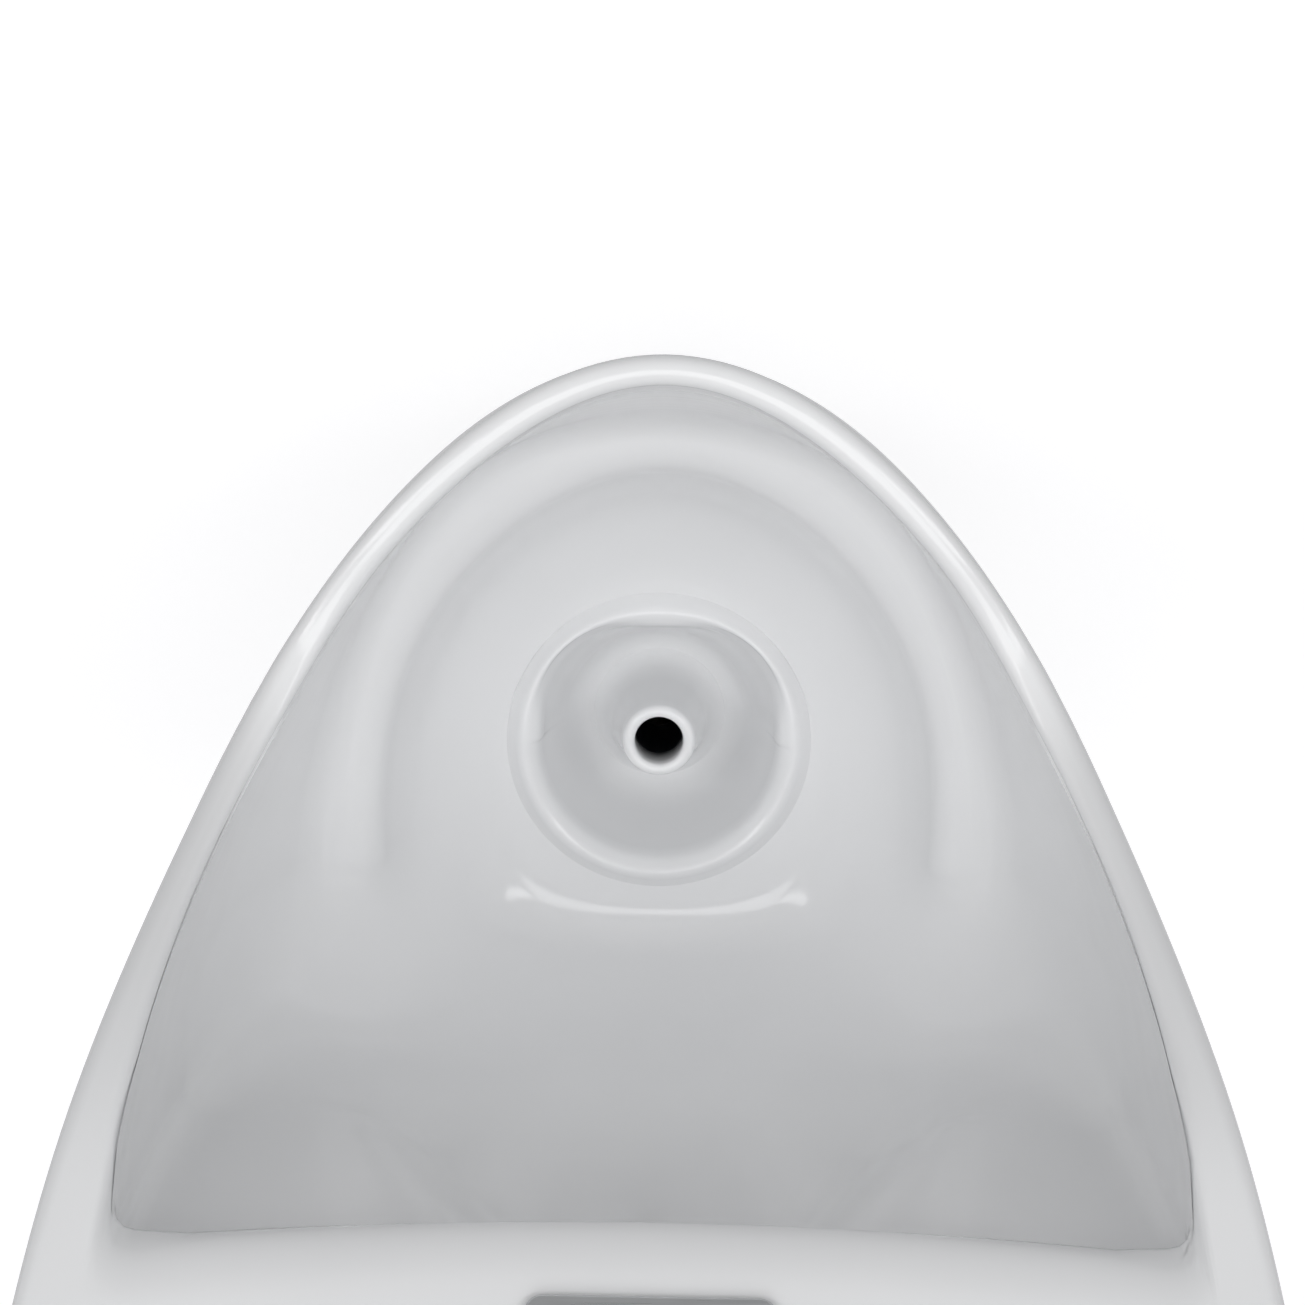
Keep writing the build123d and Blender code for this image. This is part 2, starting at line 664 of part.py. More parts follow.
with BuildPart() as solenoid_plunger:
    with BuildSketch(side_plane.offset(core_start)):
        Circle(core_r)
    extrude(amount=17)
    with BuildSketch(side_plane.offset(core_start + 11)):
        Circle(2.6)
    extrude(amount=6, mode=Mode.SUBTRACT)
solenoid_plunger.part.label = "solenoid_plunger"
export_step(solenoid_plunger.part, "parts/solenoid_plunger.step")

# Coil spring between the plunger's pocket and the end of the core tube
spring_wire_r, spring_r, spring_pitch = 0.35, 2.1, 3.0
spring_from, spring_to = core_start + 11, core_start + core_length - 2
with BuildPart() as plunger_spring:
    with BuildLine():
        coil_path = Helix(
            spring_pitch, spring_to - spring_from - 2 * spring_wire_r, spring_r,
            center=(line_x - spring_from - spring_wire_r, line_y, valve_z), direction=(-1, 0, 0),
        )
    with BuildSketch(Plane(coil_path @ 0, z_dir=coil_path % 0)):
        Circle(spring_wire_r)
    sweep(path=coil_path)
plunger_spring.part.label = "plunger_spring"
export_step(plunger_spring.part, "parts/plunger_spring.step")

coil_start, coil_length = 30.0, 26.0
with BuildPart() as solenoid_coil:
    with BuildSketch(side_plane.offset(coil_start)):
        RectangleRounded(30, 30, 3)
        Circle(5.7, mode=Mode.SUBTRACT)
    extrude(amount=coil_length)
    with BuildSketch(side_plane.offset(coil_start + 6)):
        with Locations((0, -18)):
            Rectangle(14, 6)
    extrude(amount=14)
solenoid_coil.part.label = "solenoid_coil"
export_step(solenoid_coil.part, "parts/solenoid_coil.step")

with BuildPart() as coil_nut:
    with BuildSketch(side_plane.offset(coil_start + coil_length)):
        RegularPolygon(8.5, 6)
        Circle(5.7, mode=Mode.SUBTRACT)
    extrude(amount=4)
coil_nut.part.label = "coil_nut"
export_step(coil_nut.part, "parts/coil_nut.step")

with BuildPart() as inlet_strainer:
    with BuildSketch(Plane(origin=(line_x, line_y, valve_z - valve_half - 7))):
        Circle(pipe_bore_r - 0.1)
        Circle(pipe_bore_r - 1.3, mode=Mode.SUBTRACT)
    extrude(amount=2)
    with BuildSketch(Plane(origin=(line_x, line_y, valve_z - valve_half - 5))):
        Circle(pipe_bore_r - 1)
        Circle(pipe_bore_r - 1.8, mode=Mode.SUBTRACT)
    extrude(amount=12)
    with BuildSketch(Plane(origin=(line_x, line_y, valve_z - valve_half + 7))):
        Circle(pipe_bore_r - 1)
    extrude(amount=0.8)
inlet_strainer.part.label = "inlet_strainer"
export_step(inlet_strainer.part, "parts/inlet_strainer.step")

inlet_pipe_from, inlet_pipe_to = stop_z + 34, valve_z - valve_half - 7
with BuildPart() as inlet_pipe:
    with BuildSketch(Plane(origin=(line_x, line_y, inlet_pipe_from))):
        Circle(pipe_r)
        Circle(pipe_bore_r, mode=Mode.SUBTRACT)
    extrude(amount=inlet_pipe_to - inlet_pipe_from)
inlet_pipe.part.label = "inlet_pipe"
export_step(inlet_pipe.part, "parts/inlet_pipe.step")

# Flush pipe: up from the valve, across, and forward through the slab
outlet_z = valve_z + valve_half + 7
nozzle_tail_y = 98.0
flush_route = [
    (line_x, line_y, outlet_z), (line_x, line_y, inlet_z), (0, line_y, inlet_z), (0, nozzle_tail_y, inlet_z),
]
with BuildPart() as flush_pipe:
    with BuildLine():
        route = FilletPolyline(*flush_route, radius=18)
    with BuildSketch(Plane(flush_route[0], z_dir=(0, 0, 1))):
        Circle(pipe_r)
        Circle(pipe_bore_r, mode=Mode.SUBTRACT)
    sweep(path=route)
flush_pipe.part.label = "flush_pipe"
export_step(flush_pipe.part, "parts/flush_pipe.step")

# Hexagon union nuts over the pipe joints
with BuildPart() as union_nuts:
    nut_height, collar = 13, 2
    for level, collar_rise in ((inlet_pipe_from - 7, 11), (inlet_pipe_to - 6, 0), (outlet_z - 7, 11)):
        with BuildSketch(Plane(origin=(line_x, line_y, level))):
            RegularPolygon(13.5, 6)
            Circle(9.6, mode=Mode.SUBTRACT)
        extrude(amount=nut_height)
        with BuildSketch(Plane(origin=(line_x, line_y, level + collar_rise))):
            Circle(9.7)
            Circle(pipe_r + 0.05, mode=Mode.SUBTRACT)
        extrude(amount=collar)
union_nuts.part.label = "union_nuts"
export_step(union_nuts.part, "parts/union_nuts.step")

# Spreader nozzle through the slab: domed spray head in front, nut and seals behind
nozzle_plane = Plane(origin=(0, recess_y, inlet_z), x_dir=(1, 0, 0), z_dir=(0, 1, 0))
with BuildPart() as spreader_nozzle:
    with BuildSketch(nozzle_plane):
        Circle(16)
    extrude(amount=-3.5, taper=20)
    with BuildSketch(nozzle_plane):
        Circle(10)
    extrude(amount=nozzle_tail_y - recess_y)
    with BuildSketch(nozzle_plane.offset(-1)):
        Circle(pipe_bore_r)
    extrude(amount=nozzle_tail_y - recess_y + 1, mode=Mode.SUBTRACT)
    with BuildSketch(nozzle_plane.offset(-3.5)):
        with Locations((0, 6)):
            SlotOverall(18, 2)
    extrude(amount=3, mode=Mode.SUBTRACT)
spreader_nozzle.part.label = "spreader_nozzle"
export_step(spreader_nozzle.part, "parts/spreader_nozzle.step")

with BuildPart() as nozzle_seal:
    with BuildSketch(nozzle_plane.offset(0.3)):
        Circle(inlet_hole_r - 0.1)
        Circle(10.1, mode=Mode.SUBTRACT)
    extrude(amount=china - 0.3)
    with BuildSketch(nozzle_plane.offset(china)):
        Circle(18)
        Circle(10.1, mode=Mode.SUBTRACT)
    extrude(amount=2)
nozzle_seal.part.label = "nozzle_seal"
export_step(nozzle_seal.part, "parts/nozzle_seal.step")

with BuildPart() as nozzle_nut:
    with BuildSketch(nozzle_plane.offset(china + 2)):
        RegularPolygon(17, 6)
        Circle(10.1, mode=Mode.SUBTRACT)
    extrude(amount=6)
nozzle_nut.part.label = "nozzle_nut"
export_step(nozzle_nut.part, "parts/nozzle_nut.step")

# Waste: rubber seal on the spigot, elbow, straight pipe to the wall
waste_r, waste_bore_r = 25.0, 22.0
waste_z = 330.0
elbow_top = 432.0
joint_y = 70.0
waste_tail = 45.0
with BuildPart() as outlet_seal:
    with BuildSketch(Plane.XZ.offset(-drain_y)):
        with BuildLine():
            Polyline((spigot_r + 0.1, spigot_end + 2), (28.9, spigot_end + 2), (28.9, elbow_top),
                     (33, elbow_top), (33, elbow_top + 4), (spigot_r + 0.1, elbow_top + 4), close=True)
        make_face()
    revolve(axis=Axis((0, drain_y, 0), (0, 0, 1)))
outlet_seal.part.label = "outlet_seal"
export_step(outlet_seal.part, "parts/outlet_seal.step")

with BuildPart() as waste_elbow:
    with BuildLine():
        FilletPolyline((0, drain_y, 410), (0, drain_y, waste_z), (0, joint_y, waste_z), radius=45)
    with BuildSketch(Plane((0, drain_y, 410), z_dir=(0, 0, -1))):
        Circle(waste_r)
        Circle(waste_bore_r, mode=Mode.SUBTRACT)
    sweep()
    with BuildSketch(Plane((0, drain_y, 405))):
        Circle(32.5)
        Circle(waste_bore_r, mode=Mode.SUBTRACT)
    extrude(amount=5)
    with BuildSketch(Plane((0, drain_y, 410))):
        Circle(32.5)
        Circle(29, mode=Mode.SUBTRACT)
    extrude(amount=elbow_top - 410)
    with BuildSketch(Plane((0, joint_y, waste_z), x_dir=(1, 0, 0), z_dir=(0, 1, 0))):
        Circle(31)
        Circle(waste_bore_r, mode=Mode.SUBTRACT)
    extrude(amount=3)
    with BuildSketch(Plane((0, joint_y + 3, waste_z), x_dir=(1, 0, 0), z_dir=(0, 1, 0))):
        Circle(31)
        Circle(28.2, mode=Mode.SUBTRACT)
    extrude(amount=30)
waste_elbow.part.label = "waste_elbow"
export_step(waste_elbow.part, "parts/waste_elbow.step")

with BuildPart() as elbow_seal:
    with BuildSketch(Plane((0, joint_y + 14, waste_z), x_dir=(1, 0, 0), z_dir=(0, 1, 0))):
        Circle(28.1)
        Circle(waste_r + 0.1, mode=Mode.SUBTRACT)
    extrude(amount=8)
elbow_seal.part.label = "elbow_seal"
export_step(elbow_seal.part, "parts/elbow_seal.step")

with BuildPart() as waste_pipe:
    with BuildSketch(Plane((0, joint_y + 3.5, waste_z), x_dir=(1, 0, 0), z_dir=(0, 1, 0))):
        Circle(waste_r)
        Circle(waste_bore_r, mode=Mode.SUBTRACT)
    extrude(amount=wall_y - joint_y - 3.5)
    # bead that stops the wall socket
    with BuildSketch(Plane((0, wall_y - waste_tail - 5, waste_z), x_dir=(1, 0, 0), z_dir=(0, 1, 0))):
        Circle(waste_r + 2.5)
        Circle(waste_r - 1, mode=Mode.SUBTRACT)
    extrude(amount=5)
waste_pipe.part.label = "waste_pipe"
export_step(waste_pipe.part, "parts/waste_pipe.step")

# Steel brackets that hold the shelves to the wall
steel = 3.0
bracket_height = 60.0
with BuildPart() as wall_brackets:
    for side in (1, -1):
        with BuildSketch(Plane.YZ.offset(side * lug_x - 16)):
            with BuildLine():
                Polyline(
                    (lug_y - 14, lug_z - steel), (wall_y - steel, lug_z - steel),
                    (wall_y - steel, lug_z - bracket_height), (wall_y, lug_z - bracket_height),
                    (wall_y, lug_z), (lug_y - 14, lug_z), close=True,
                )
            make_face()
        extrude(amount=32)
    with Locations((lug_x, lug_y, lug_z), (-lug_x, lug_y, lug_z)):
        Cylinder(4.5, 20, mode=Mode.SUBTRACT)
    for side in (1, -1):
        with Locations(Plane(origin=(side * lug_x, wall_y, lug_z - 38), z_dir=(0, 1, 0))):
            Cylinder(4.5, 20, mode=Mode.SUBTRACT)
wall_brackets.part.label = "wall_brackets"
export_step(wall_brackets.part, "parts/wall_brackets.step")

with BuildPart() as bracket_washers:
    for side in (1, -1):
        with BuildSketch(Plane((side * lug_x, lug_y, lug_z + lug_thickness))):
            Circle(11)
            Circle(4.3, mode=Mode.SUBTRACT)
        extrude(amount=2)
bracket_washers.part.label = "bracket_washers"
export_step(bracket_washers.part, "parts/bracket_washers.step")

with BuildPart() as bracket_bolts:
    for side in (1, -1):
        with BuildSketch(Plane((side * lug_x, lug_y, lug_z + lug_thickness + 2))):
            RegularPolygon(7.5, 6)
        extrude(amount=5.3)
        with BuildSketch(Plane((side * lug_x, lug_y, lug_z + lug_thickness + 2))):
            Circle(4)
        extrude(amount=-30)
bracket_bolts.part.label = "bracket_bolts"
export_step(bracket_bolts.part, "parts/bracket_bolts.step")

with BuildPart() as bracket_nuts:
    for side in (1, -1):
        with BuildSketch(Plane((side * lug_x, lug_y, lug_z - steel))):
            RegularPolygon(7.5, 6)
            Circle(4.05, mode=Mode.SUBTRACT)
        extrude(amount=-6.5)
bracket_nuts.part.label = "bracket_nuts"
export_step(bracket_nuts.part, "parts/bracket_nuts.step")

# Plastic floor blocks inside the foot, with a screw into the floor and one from the side
block_x0, block_x1 = 57.0, 92.0
with BuildPart() as floor_blocks:
    for side in (1, -1):
        with BuildSketch(Plane.XZ.offset(-foot_y - 15)):
            with BuildLine():
                upright = [(block_x1, 0), (block_x1, 58), (block_x1 - 10, 58), (block_x1 - 14, 10)]
                Polyline(*[(side * x, z) for x, z in [(block_x0, 0), *upright, (block_x0, 10)]], close=True)
            make_face()
        extrude(amount=30)
        with Locations((side * (block_x0 + 9), foot_y, 0)):
            Cylinder(4, 30, mode=Mode.SUBTRACT)
        with Locations(Plane(origin=(side * block_x1, foot_y, foot_z), z_dir=(side, 0, 0))):
            Cylinder(2.6, 40, mode=Mode.SUBTRACT)
floor_blocks.part.label = "floor_blocks"
export_step(floor_blocks.part, "parts/floor_blocks.step")

with BuildPart() as side_screws:
    for side in (1, -1):
        seat = Plane(origin=(side * foot_face_x, foot_y, foot_z), z_dir=(side, 0, 0))
        with BuildSketch(seat):
            Circle(5.5)
        extrude(amount=2.5)
        with BuildSketch(seat):
            Circle(2.5)
        extrude(amount=-28)
side_screws.part.label = "side_screws"
export_step(side_screws.part, "parts/side_screws.step")

with BuildPart() as screw_caps:
    for side in (1, -1):
        seat = Plane(origin=(side * foot_face_x, foot_y, foot_z), z_dir=(side, 0, 0))
        with BuildSketch(seat):
            Circle(9.5)
        extrude(amount=5.5)
    fillet(screw_caps.faces().sort_by(Axis.X)[-1].edges() + screw_caps.faces().sort_by(Axis.X)[0].edges(), 3)
    for side in (1, -1):
        with BuildSketch(Plane(origin=(side * foot_face_x, foot_y, foot_z), z_dir=(side, 0, 0))):
            Circle(5.8)
        extrude(amount=2.9, mode=Mode.SUBTRACT)
screw_caps.part.label = "screw_caps"
export_step(screw_caps.part, "parts/screw_caps.step")

# Leads from the sensor housing to the battery case and to the coil
lead_r = 1.9
coil_side_y = line_y - 15


def corner_radii(points):
    """Largest easy bend at each corner: 0.45 of the shorter run over tan of half the turn."""
    radii = []
    for before, corner, after in zip(points, points[1:], points[2:]):
        run_in, run_out = Vector(corner) - Vector(before), Vector(after) - Vector(corner)
        turn = radians(run_in.get_angle(run_out))
        radii.append(0.45 * min(run_in.length, run_out.length) * cos(turn / 2) / sin(turn / 2))
    return radii


def lead_exit(x, run):
    """Point on the lead's way straight out of the back of the housing."""
    return tuple(hood_plane.from_local_coords(Vector(x, 0, gasket_thickness - housing_depth - run)))


battery_route = [
    lead_exit(-14, -1), lead_exit(-14, 14), (-28, 146, 822), (-52, 142, 808), (-76, 128, 800),
    (-91, 108, 795), (case_x, 96.5, 786), (case_x, 96.5, case_z + case_size[1] / 2),
]
coil_route = [
    lead_exit(14, -1), lead_exit(14, 12), (26, 133, 821), (38, 124, 802), (47, 113, 785),
    (51, 106, 765), (52, 108, 748), (52, 117, 739), (52, coil_side_y, 739),
]
with BuildPart() as battery_lead:
    with BuildLine():
        route = FilletPolyline(*battery_route, radius=corner_radii(battery_route))
    with BuildSketch(Plane(route @ 0, z_dir=route % 0)):
        Circle(lead_r)
    sweep(path=route)
battery_lead.part.label = "battery_lead"
export_step(battery_lead.part, "parts/battery_lead.step")

with BuildPart() as coil_lead:
    with BuildLine():
        route = FilletPolyline(*coil_route, radius=corner_radii(coil_route))
    with BuildSketch(Plane(route @ 0, z_dir=route % 0)):
        Circle(lead_r)
    sweep(path=route)
coil_lead.part.label = "coil_lead"
export_step(coil_lead.part, "parts/coil_lead.step")
print("battery lead bend radii", [round(r, 1) for r in corner_radii(battery_route)])
print("coil lead bend radii", [round(r, 1) for r in corner_radii(coil_route)])
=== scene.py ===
import json
import math

import bmesh
import bpy
import numpy as np
from mathutils import Matrix, Vector


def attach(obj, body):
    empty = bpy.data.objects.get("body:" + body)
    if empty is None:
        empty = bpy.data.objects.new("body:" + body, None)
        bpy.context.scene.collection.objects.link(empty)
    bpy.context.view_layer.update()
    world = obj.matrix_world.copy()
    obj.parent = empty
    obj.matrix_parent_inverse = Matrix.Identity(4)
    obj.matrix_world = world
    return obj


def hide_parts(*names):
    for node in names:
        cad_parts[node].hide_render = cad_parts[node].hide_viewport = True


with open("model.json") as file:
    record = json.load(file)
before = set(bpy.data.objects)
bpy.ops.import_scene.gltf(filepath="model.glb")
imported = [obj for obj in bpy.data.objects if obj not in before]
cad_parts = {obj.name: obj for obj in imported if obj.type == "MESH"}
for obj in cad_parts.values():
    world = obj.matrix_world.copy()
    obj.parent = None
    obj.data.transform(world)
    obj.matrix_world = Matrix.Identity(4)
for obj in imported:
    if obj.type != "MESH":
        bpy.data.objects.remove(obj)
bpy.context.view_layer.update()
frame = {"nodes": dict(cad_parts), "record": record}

mm = 0.001

# The picture: camera above the lip, looking down and back into the bowl
cameraSettings = {
    "place": (0.003, -0.3515, 1.720),
    "pitch": 13.99,  # degrees from straight down, towards the wall
    "roll": 1.05,
    "lens": 92.4,
    "sensor": 36.0,
}
lightSettings = {
    "dome": (0.24, 0.64),  # strength at the horizon and high up, so that the sides stay a little darker
    "domeHeights": (0.0, 0.8),
    "softboxes": [  # place, aim, width, height, watts
        ((0.0, 0.05, 2.8), (0, 0, 0.6), 1.4, 1.1, 13.0),
        ((-1.25, -0.55, 2.2), (0, 0, 0.6), 0.35, 1.4, 5.5),
        ((1.25, -0.55, 2.2), (0, 0, 0.6), 0.35, 1.4, 5.5),
    ],
}
floorSettings = {
    "half": 4.0,
    "roughness": 0.8,
    "cloudScale": 3,
    "tones": ((0.62, 0.62, 0.635), (0.66, 0.66, 0.67)),
    "lift": 0.55,  # added where the backdrop shows, so that the floor is white outside the shadow
    "inMirrors": 0.2,
}
glazeSettings = {
    "ior": 1.5,
    "glaze": ((0.795, 0.80, 0.81), (0.82, 0.825, 0.835)),
    "deep": (0.012, 0.014, 0.018),  # painted shade: near-black colour for the shaded inside of the standpipe's bore
    # heights and radii, in metres, over which the painted bore shade fades in
    "boreShadeFrom": (0.516, 0.503),
    "boreShadeRadius": (0.0096, 0.0091),
    "biscuit": ((0.66, 0.65, 0.62), (0.76, 0.75, 0.72)),
    "smooth": (0.11, 0.15),
    "rough": (0.45, 0.62),
    "cloudScale": 9,
    "speckScale": 420,
    "waveScale": 26,
    "wave": (0.05, 0.002),
    "peelScale": 330,
    "peel": (0.03, 0.0001),
}
finishes = {
    "satin_steel": {
        "colours": ((0.44, 0.45, 0.46), (0.58, 0.59, 0.60)), "metal": 1.0, "scale": 900,
        "stretch": (0.02, 1, 1), "rough": (0.26, 0.38), "bump": 0.18,
    },
    "black_rubber": {
        "colours": ((0.022, 0.022, 0.022), (0.045, 0.045, 0.045)), "scale": 700,
        "rough": (0.6, 0.8), "bump": 0.3,
    },
    "bright_steel": {
        "colours": ((0.54, 0.54, 0.55), (0.68, 0.68, 0.69)), "metal": 1.0, "scale": 1200,
        "rough": (0.16, 0.28), "bump": 0.1,
    },
    "smoked_lens": {
        "colours": ((0.012, 0.008, 0.011), (0.02, 0.013, 0.017)), "scale": 200, "rough": (0.03, 0.06),
        "bump": 0.01, "coat": 0.6,
    },
    "grey_plastic": {
        "colours": ((0.24, 0.25, 0.26), (0.33, 0.34, 0.35)), "scale": 1100, "rough": (0.38, 0.5), "bump": 0.2,
    },
    "board_green": {
        "colours": ((0.018, 0.15, 0.06), (0.03, 0.2, 0.09)), "scale": 500, "rough": (0.28, 0.4), "bump": 0.1,
        "bands": {"way": "X", "scale": 160, "bend": 2.5, "edge": (0.8, 0.88)},
        "bandColour": (0.08, 0.34, 0.15),
    },
    "clear_lens": {
        "colours": ((0.14, 0.08, 0.16), (0.22, 0.13, 0.24)), "scale": 260, "rough": (0.05, 0.1),
        "bump": 0.02, "coat": 0.5,
    },
    "black_plastic": {
        "colours": ((0.02, 0.02, 0.021), (0.042, 0.042, 0.044)), "scale": 1300,
        "rough": (0.34, 0.5), "bump": 0.25,
    },
    "cell_wrap": {
        "colours": ((0.07, 0.17, 0.36), (0.10, 0.22, 0.42)), "scale": 300,
        "rough": (0.14, 0.24), "bump": 0.04, "coat": 0.3,
        "bands": {"way": "X", "scale": 6, "bend": 0, "edge": (0.9, 0.92)},
        "bandColour": (0.62, 0.62, 0.6),
    },
    "lead_black": {
        "colours": ((0.028, 0.028, 0.03), (0.05, 0.05, 0.055)), "scale": 600,
        "rough": (0.42, 0.55), "bump": 0.15,
    },
    "nickel_brass": {
        "colours": ((0.58, 0.56, 0.51), (0.70, 0.68, 0.63)), "metal": 1.0, "scale": 260,
        "rough": (0.16, 0.3), "bump": 0.06,
    },
    "raw_brass": {
        "colours": ((0.56, 0.40, 0.18), (0.74, 0.56, 0.28)), "metal": 1.0, "scale": 340,
        "rough": (0.26, 0.42), "bump": 0.12, "age": (0.7, 1.0),
    },
    "lever_red": {
        "colours": ((0.42, 0.03, 0.025), (0.56, 0.05, 0.04)), "scale": 800,
        "rough": (0.32, 0.45), "bump": 0.3,
    },
    "core_steel": {
        "colours": ((0.42, 0.42, 0.44), (0.54, 0.54, 0.56)), "metal": 1.0, "scale": 900,
        "stretch": (1, 0.1, 0.1), "rough": (0.26, 0.36), "bump": 0.12,
    },
    "chromed_tube": {
        "colours": ((0.66, 0.67, 0.69), (0.76, 0.77, 0.79)), "metal": 1.0, "scale": 160,
        "rough": (0.07, 0.13), "bump": 0.02,
    },
    "bright_chrome": {
        "colours": ((0.74, 0.75, 0.77), (0.82, 0.83, 0.85)), "metal": 1.0, "scale": 220,
        "rough": (0.04, 0.09), "bump": 0.01,
    },
    "waste_grey": {
        "colours": ((0.34, 0.35, 0.36), (0.43, 0.44, 0.45)), "scale": 500, "stretch": (1, 0.15, 1),
        "rough": (0.3, 0.42), "bump": 0.1,
    },
    "zinc_steel": {
        "colours": ((0.46, 0.47, 0.49), (0.62, 0.63, 0.65)), "metal": 1.0, "scale": 120,
        "rough": (0.28, 0.44), "bump": 0.1, "age": (0.72, 1.0),
    },
    "white_plastic": {
        "colours": ((0.68, 0.68, 0.67), (0.78, 0.78, 0.77)), "scale": 1000,
        "rough": (0.36, 0.48), "bump": 0.18,
    },
}

# The fired body, in millimetres: floor at 0, wall at +181.5, user at -y
bodySettings = {
    "sidePoints": 96,  # mesh points from the nose to the wall corner
    "backPoints": 48,  # and from there to the middle of the back
    "wall": 181.5,
    "levelStep": 69,
    "halfWidths": [122, 120, 119, 120, 125, 134, 149, 168, 182.5, 187.5],
    "noses": [-76, -80, -85, -92, -102, -116, -134, -152, -168, -180.8],
    "planShares": [(0.53, 0.171), (0.78, 0.377), (0.91, 0.532), (0.982, 0.697)],
    "rimSide": [(-120, 635), (-78.5, 636), (-54.5, 650), (-18.5, 709), (11.5, 770), (47.5, 819)],
    "hoodAngle": 50,
    "hoodTop": (131.5, 919.1),
    "crownTop": 950,
    "footLevels": [(4, 0), (1.2, 1.2), (0, 4)],  # inset and height, from the floor up
    "footMiddle": 40.0,
    "plainLevels": (20, 560, 28),  # from, to and how many; above them the levels tilt into the rim
    "tiltSteps": 13,
    "plansTo": 640,
    "rimTurns": (0, 12, 26, 40, 54, 68, 80),  # degrees round the rim's edges
    "rimSteps": 22,
    "outerRound": 5.0,
    "innerRound": 4.5,
    "lipRound": 9.0,
    "hoodArch": 7.0,  # the hood's edge lies this much further back at its ends
}
# how far forward the nose may reach at each height below the lip, and how wide the nose is
noseSettings = {
    "reach": [
        (552, -168.4), (576, -172.0), (590, -174.0), (600, -175.5),
        (610, -177.0), (621, -178.8), (632, -180.8),
    ],
    "width": 75.0,
}
# softening of the bowl's back corners, over a patch of the grid of loops
softSettings = {"y": (14, 36), "z": (530, 542), "top": (690, 640), "rounds": 90, "step": 0.7}
cavitySettings = {
    "drainY": -18.5,
    "panelY": 61.5,
    "recessY": 71.5,
    "recessFrom": (50, 61),  # the recess fades in between these y
    "recessLean": 4.5,  # how much deeper the foot of the recess lies than its top
    "leanFrom": 765,
    "leanTo": 640,
    "roofZ": 803.0,
    "ledgeZ": 578.0,
    "footRound": 12.0,  # between the walls and the ledge
    "coveRound": 32.0,  # between the ledge and the back panel
    "ledgeOuter": [(60, -117), (101, -64), (119, -5), (123, 35), (119, 80)],
    "rimInner": [(67, -125.5), (117, -68), (149, -5), (157.5, 38), (159, 80)],
    "ledgeNose": -131,
    "rimNose": -167,
    "openingOut": [(578, 0), (626, 0.52), (674, 0.78), (722, 0.91), (770, 0.975), (818, 1)],
    "lipPath": [(0.0, 0.25, 2.0), (0.1, 0.6, 4.0), (0.45, 1.0, 6.0), (1.0, 1.0, 8.0)],  # back, down, fall
    "wallSteps": 30,
    "ledgeFall": (0.4, 1.0),  # at the middle of the ledge and at its inner edge
    "outerBend": (0.1, 0.25, 0.4, 0.55, 0.7, 0.85, 1.0),
    "innerBend": (0.15, 0.3, 0.45, 0.6, 0.75, 0.88, 1.0),
    "archStep": 60,
    "archFoot": 570,
    "archOuter": [122, 117, 102, 80, 52],
    "archInner": [97, 87, 69, 46, 20],
}
bowlSettings = {
    "levels": [(580, -134, 101, 76), (555, -123, 94, 74), (535, -105, 80, 67), (520, -81, 61, 50)],
    "eggShares": [(0.57, 0.115), (0.93, 0.38), (1.0, 0.66), (0.78, 0.93)],
    "openShares": [(0.57, 0.115), (0.93, 0.38), (1.0, 0.66), (0.96, 0.86), (0.90, 1.0)],
    "openCorner": 15.0,
    "bendTo": 566.0,
    "steps": (562, 523, 12),
    "closedBy": 528.0,  # the back corners round off down to this height
}
hollowSettings = {
    "china": 13.0,  # wall left in front of the space for the fittings
    "frontTop": 545.0,
    "slabBack": 84.5,
    "skinDrop": 4.0,
    # radius and height
    "underWell": [(22.8, 420), (24, 421.2), (24, 458), (58, 458), (58, 506), (72, 506), (72, 515)],
    "pedestalFrom": 20,
    "rearLevels": (540, 570, 595, 621, 1000),
    "spigotBore": (440, 18, 48),  # height, radius, length
    "shelf": ((154, 155, 707), (42, 36, 14)),  # middle and size of the right one
    "shelfHole": (148, 155, 4.5),
    "sensorOpening": (58, 90, 4),  # width, length up the hood, corner
    "sensorDepth": (-45, 8),
    "sensorMiddle": 72.5,  # from the hood's edge up the slope
    "inlet": (790, 14),  # height, radius
    "sideScrew": (110.5, 70, 42, 4.5, 10),  # face, y, height, hole and seat radius
    "rawWall": 180.9,
    "rawFoot": 0.8,
}
wellSettings = {
    "floor": 520.0,
    "beadOut": 55.0,
    "beadIn": 46.0,
    "beadRise": 4.0,
    "floorFall": 0.6,
    "mouthHalf": 45.0,  # flat front side of the mouth
    "mouthCorner": 33.0,
    "profile": [(44.5, -1.5), (43.5, -7), (41, -16), (38, -25), (35.5, -32), (33, -37.5), (29.5, -41.5)],
    "pipe": [(25, -43), (22.5, -41.5), (19.5, -37), (17.5, -27), (15.6, -17), (14.2, -8), (13.6, -2.5)],
    "ring": [(13.2, -1.0), (12.4, -0.2), (11.4, 0.0), (10.2, -0.1), (9.4, -0.6), (9.0, -1.6)],
    "bore": [(8.9, -5), (8.9, -20), (8.9, -45), (8.9, -70)],
}

# side curves of the cavity already worked out, by share and end
sideCache = {}


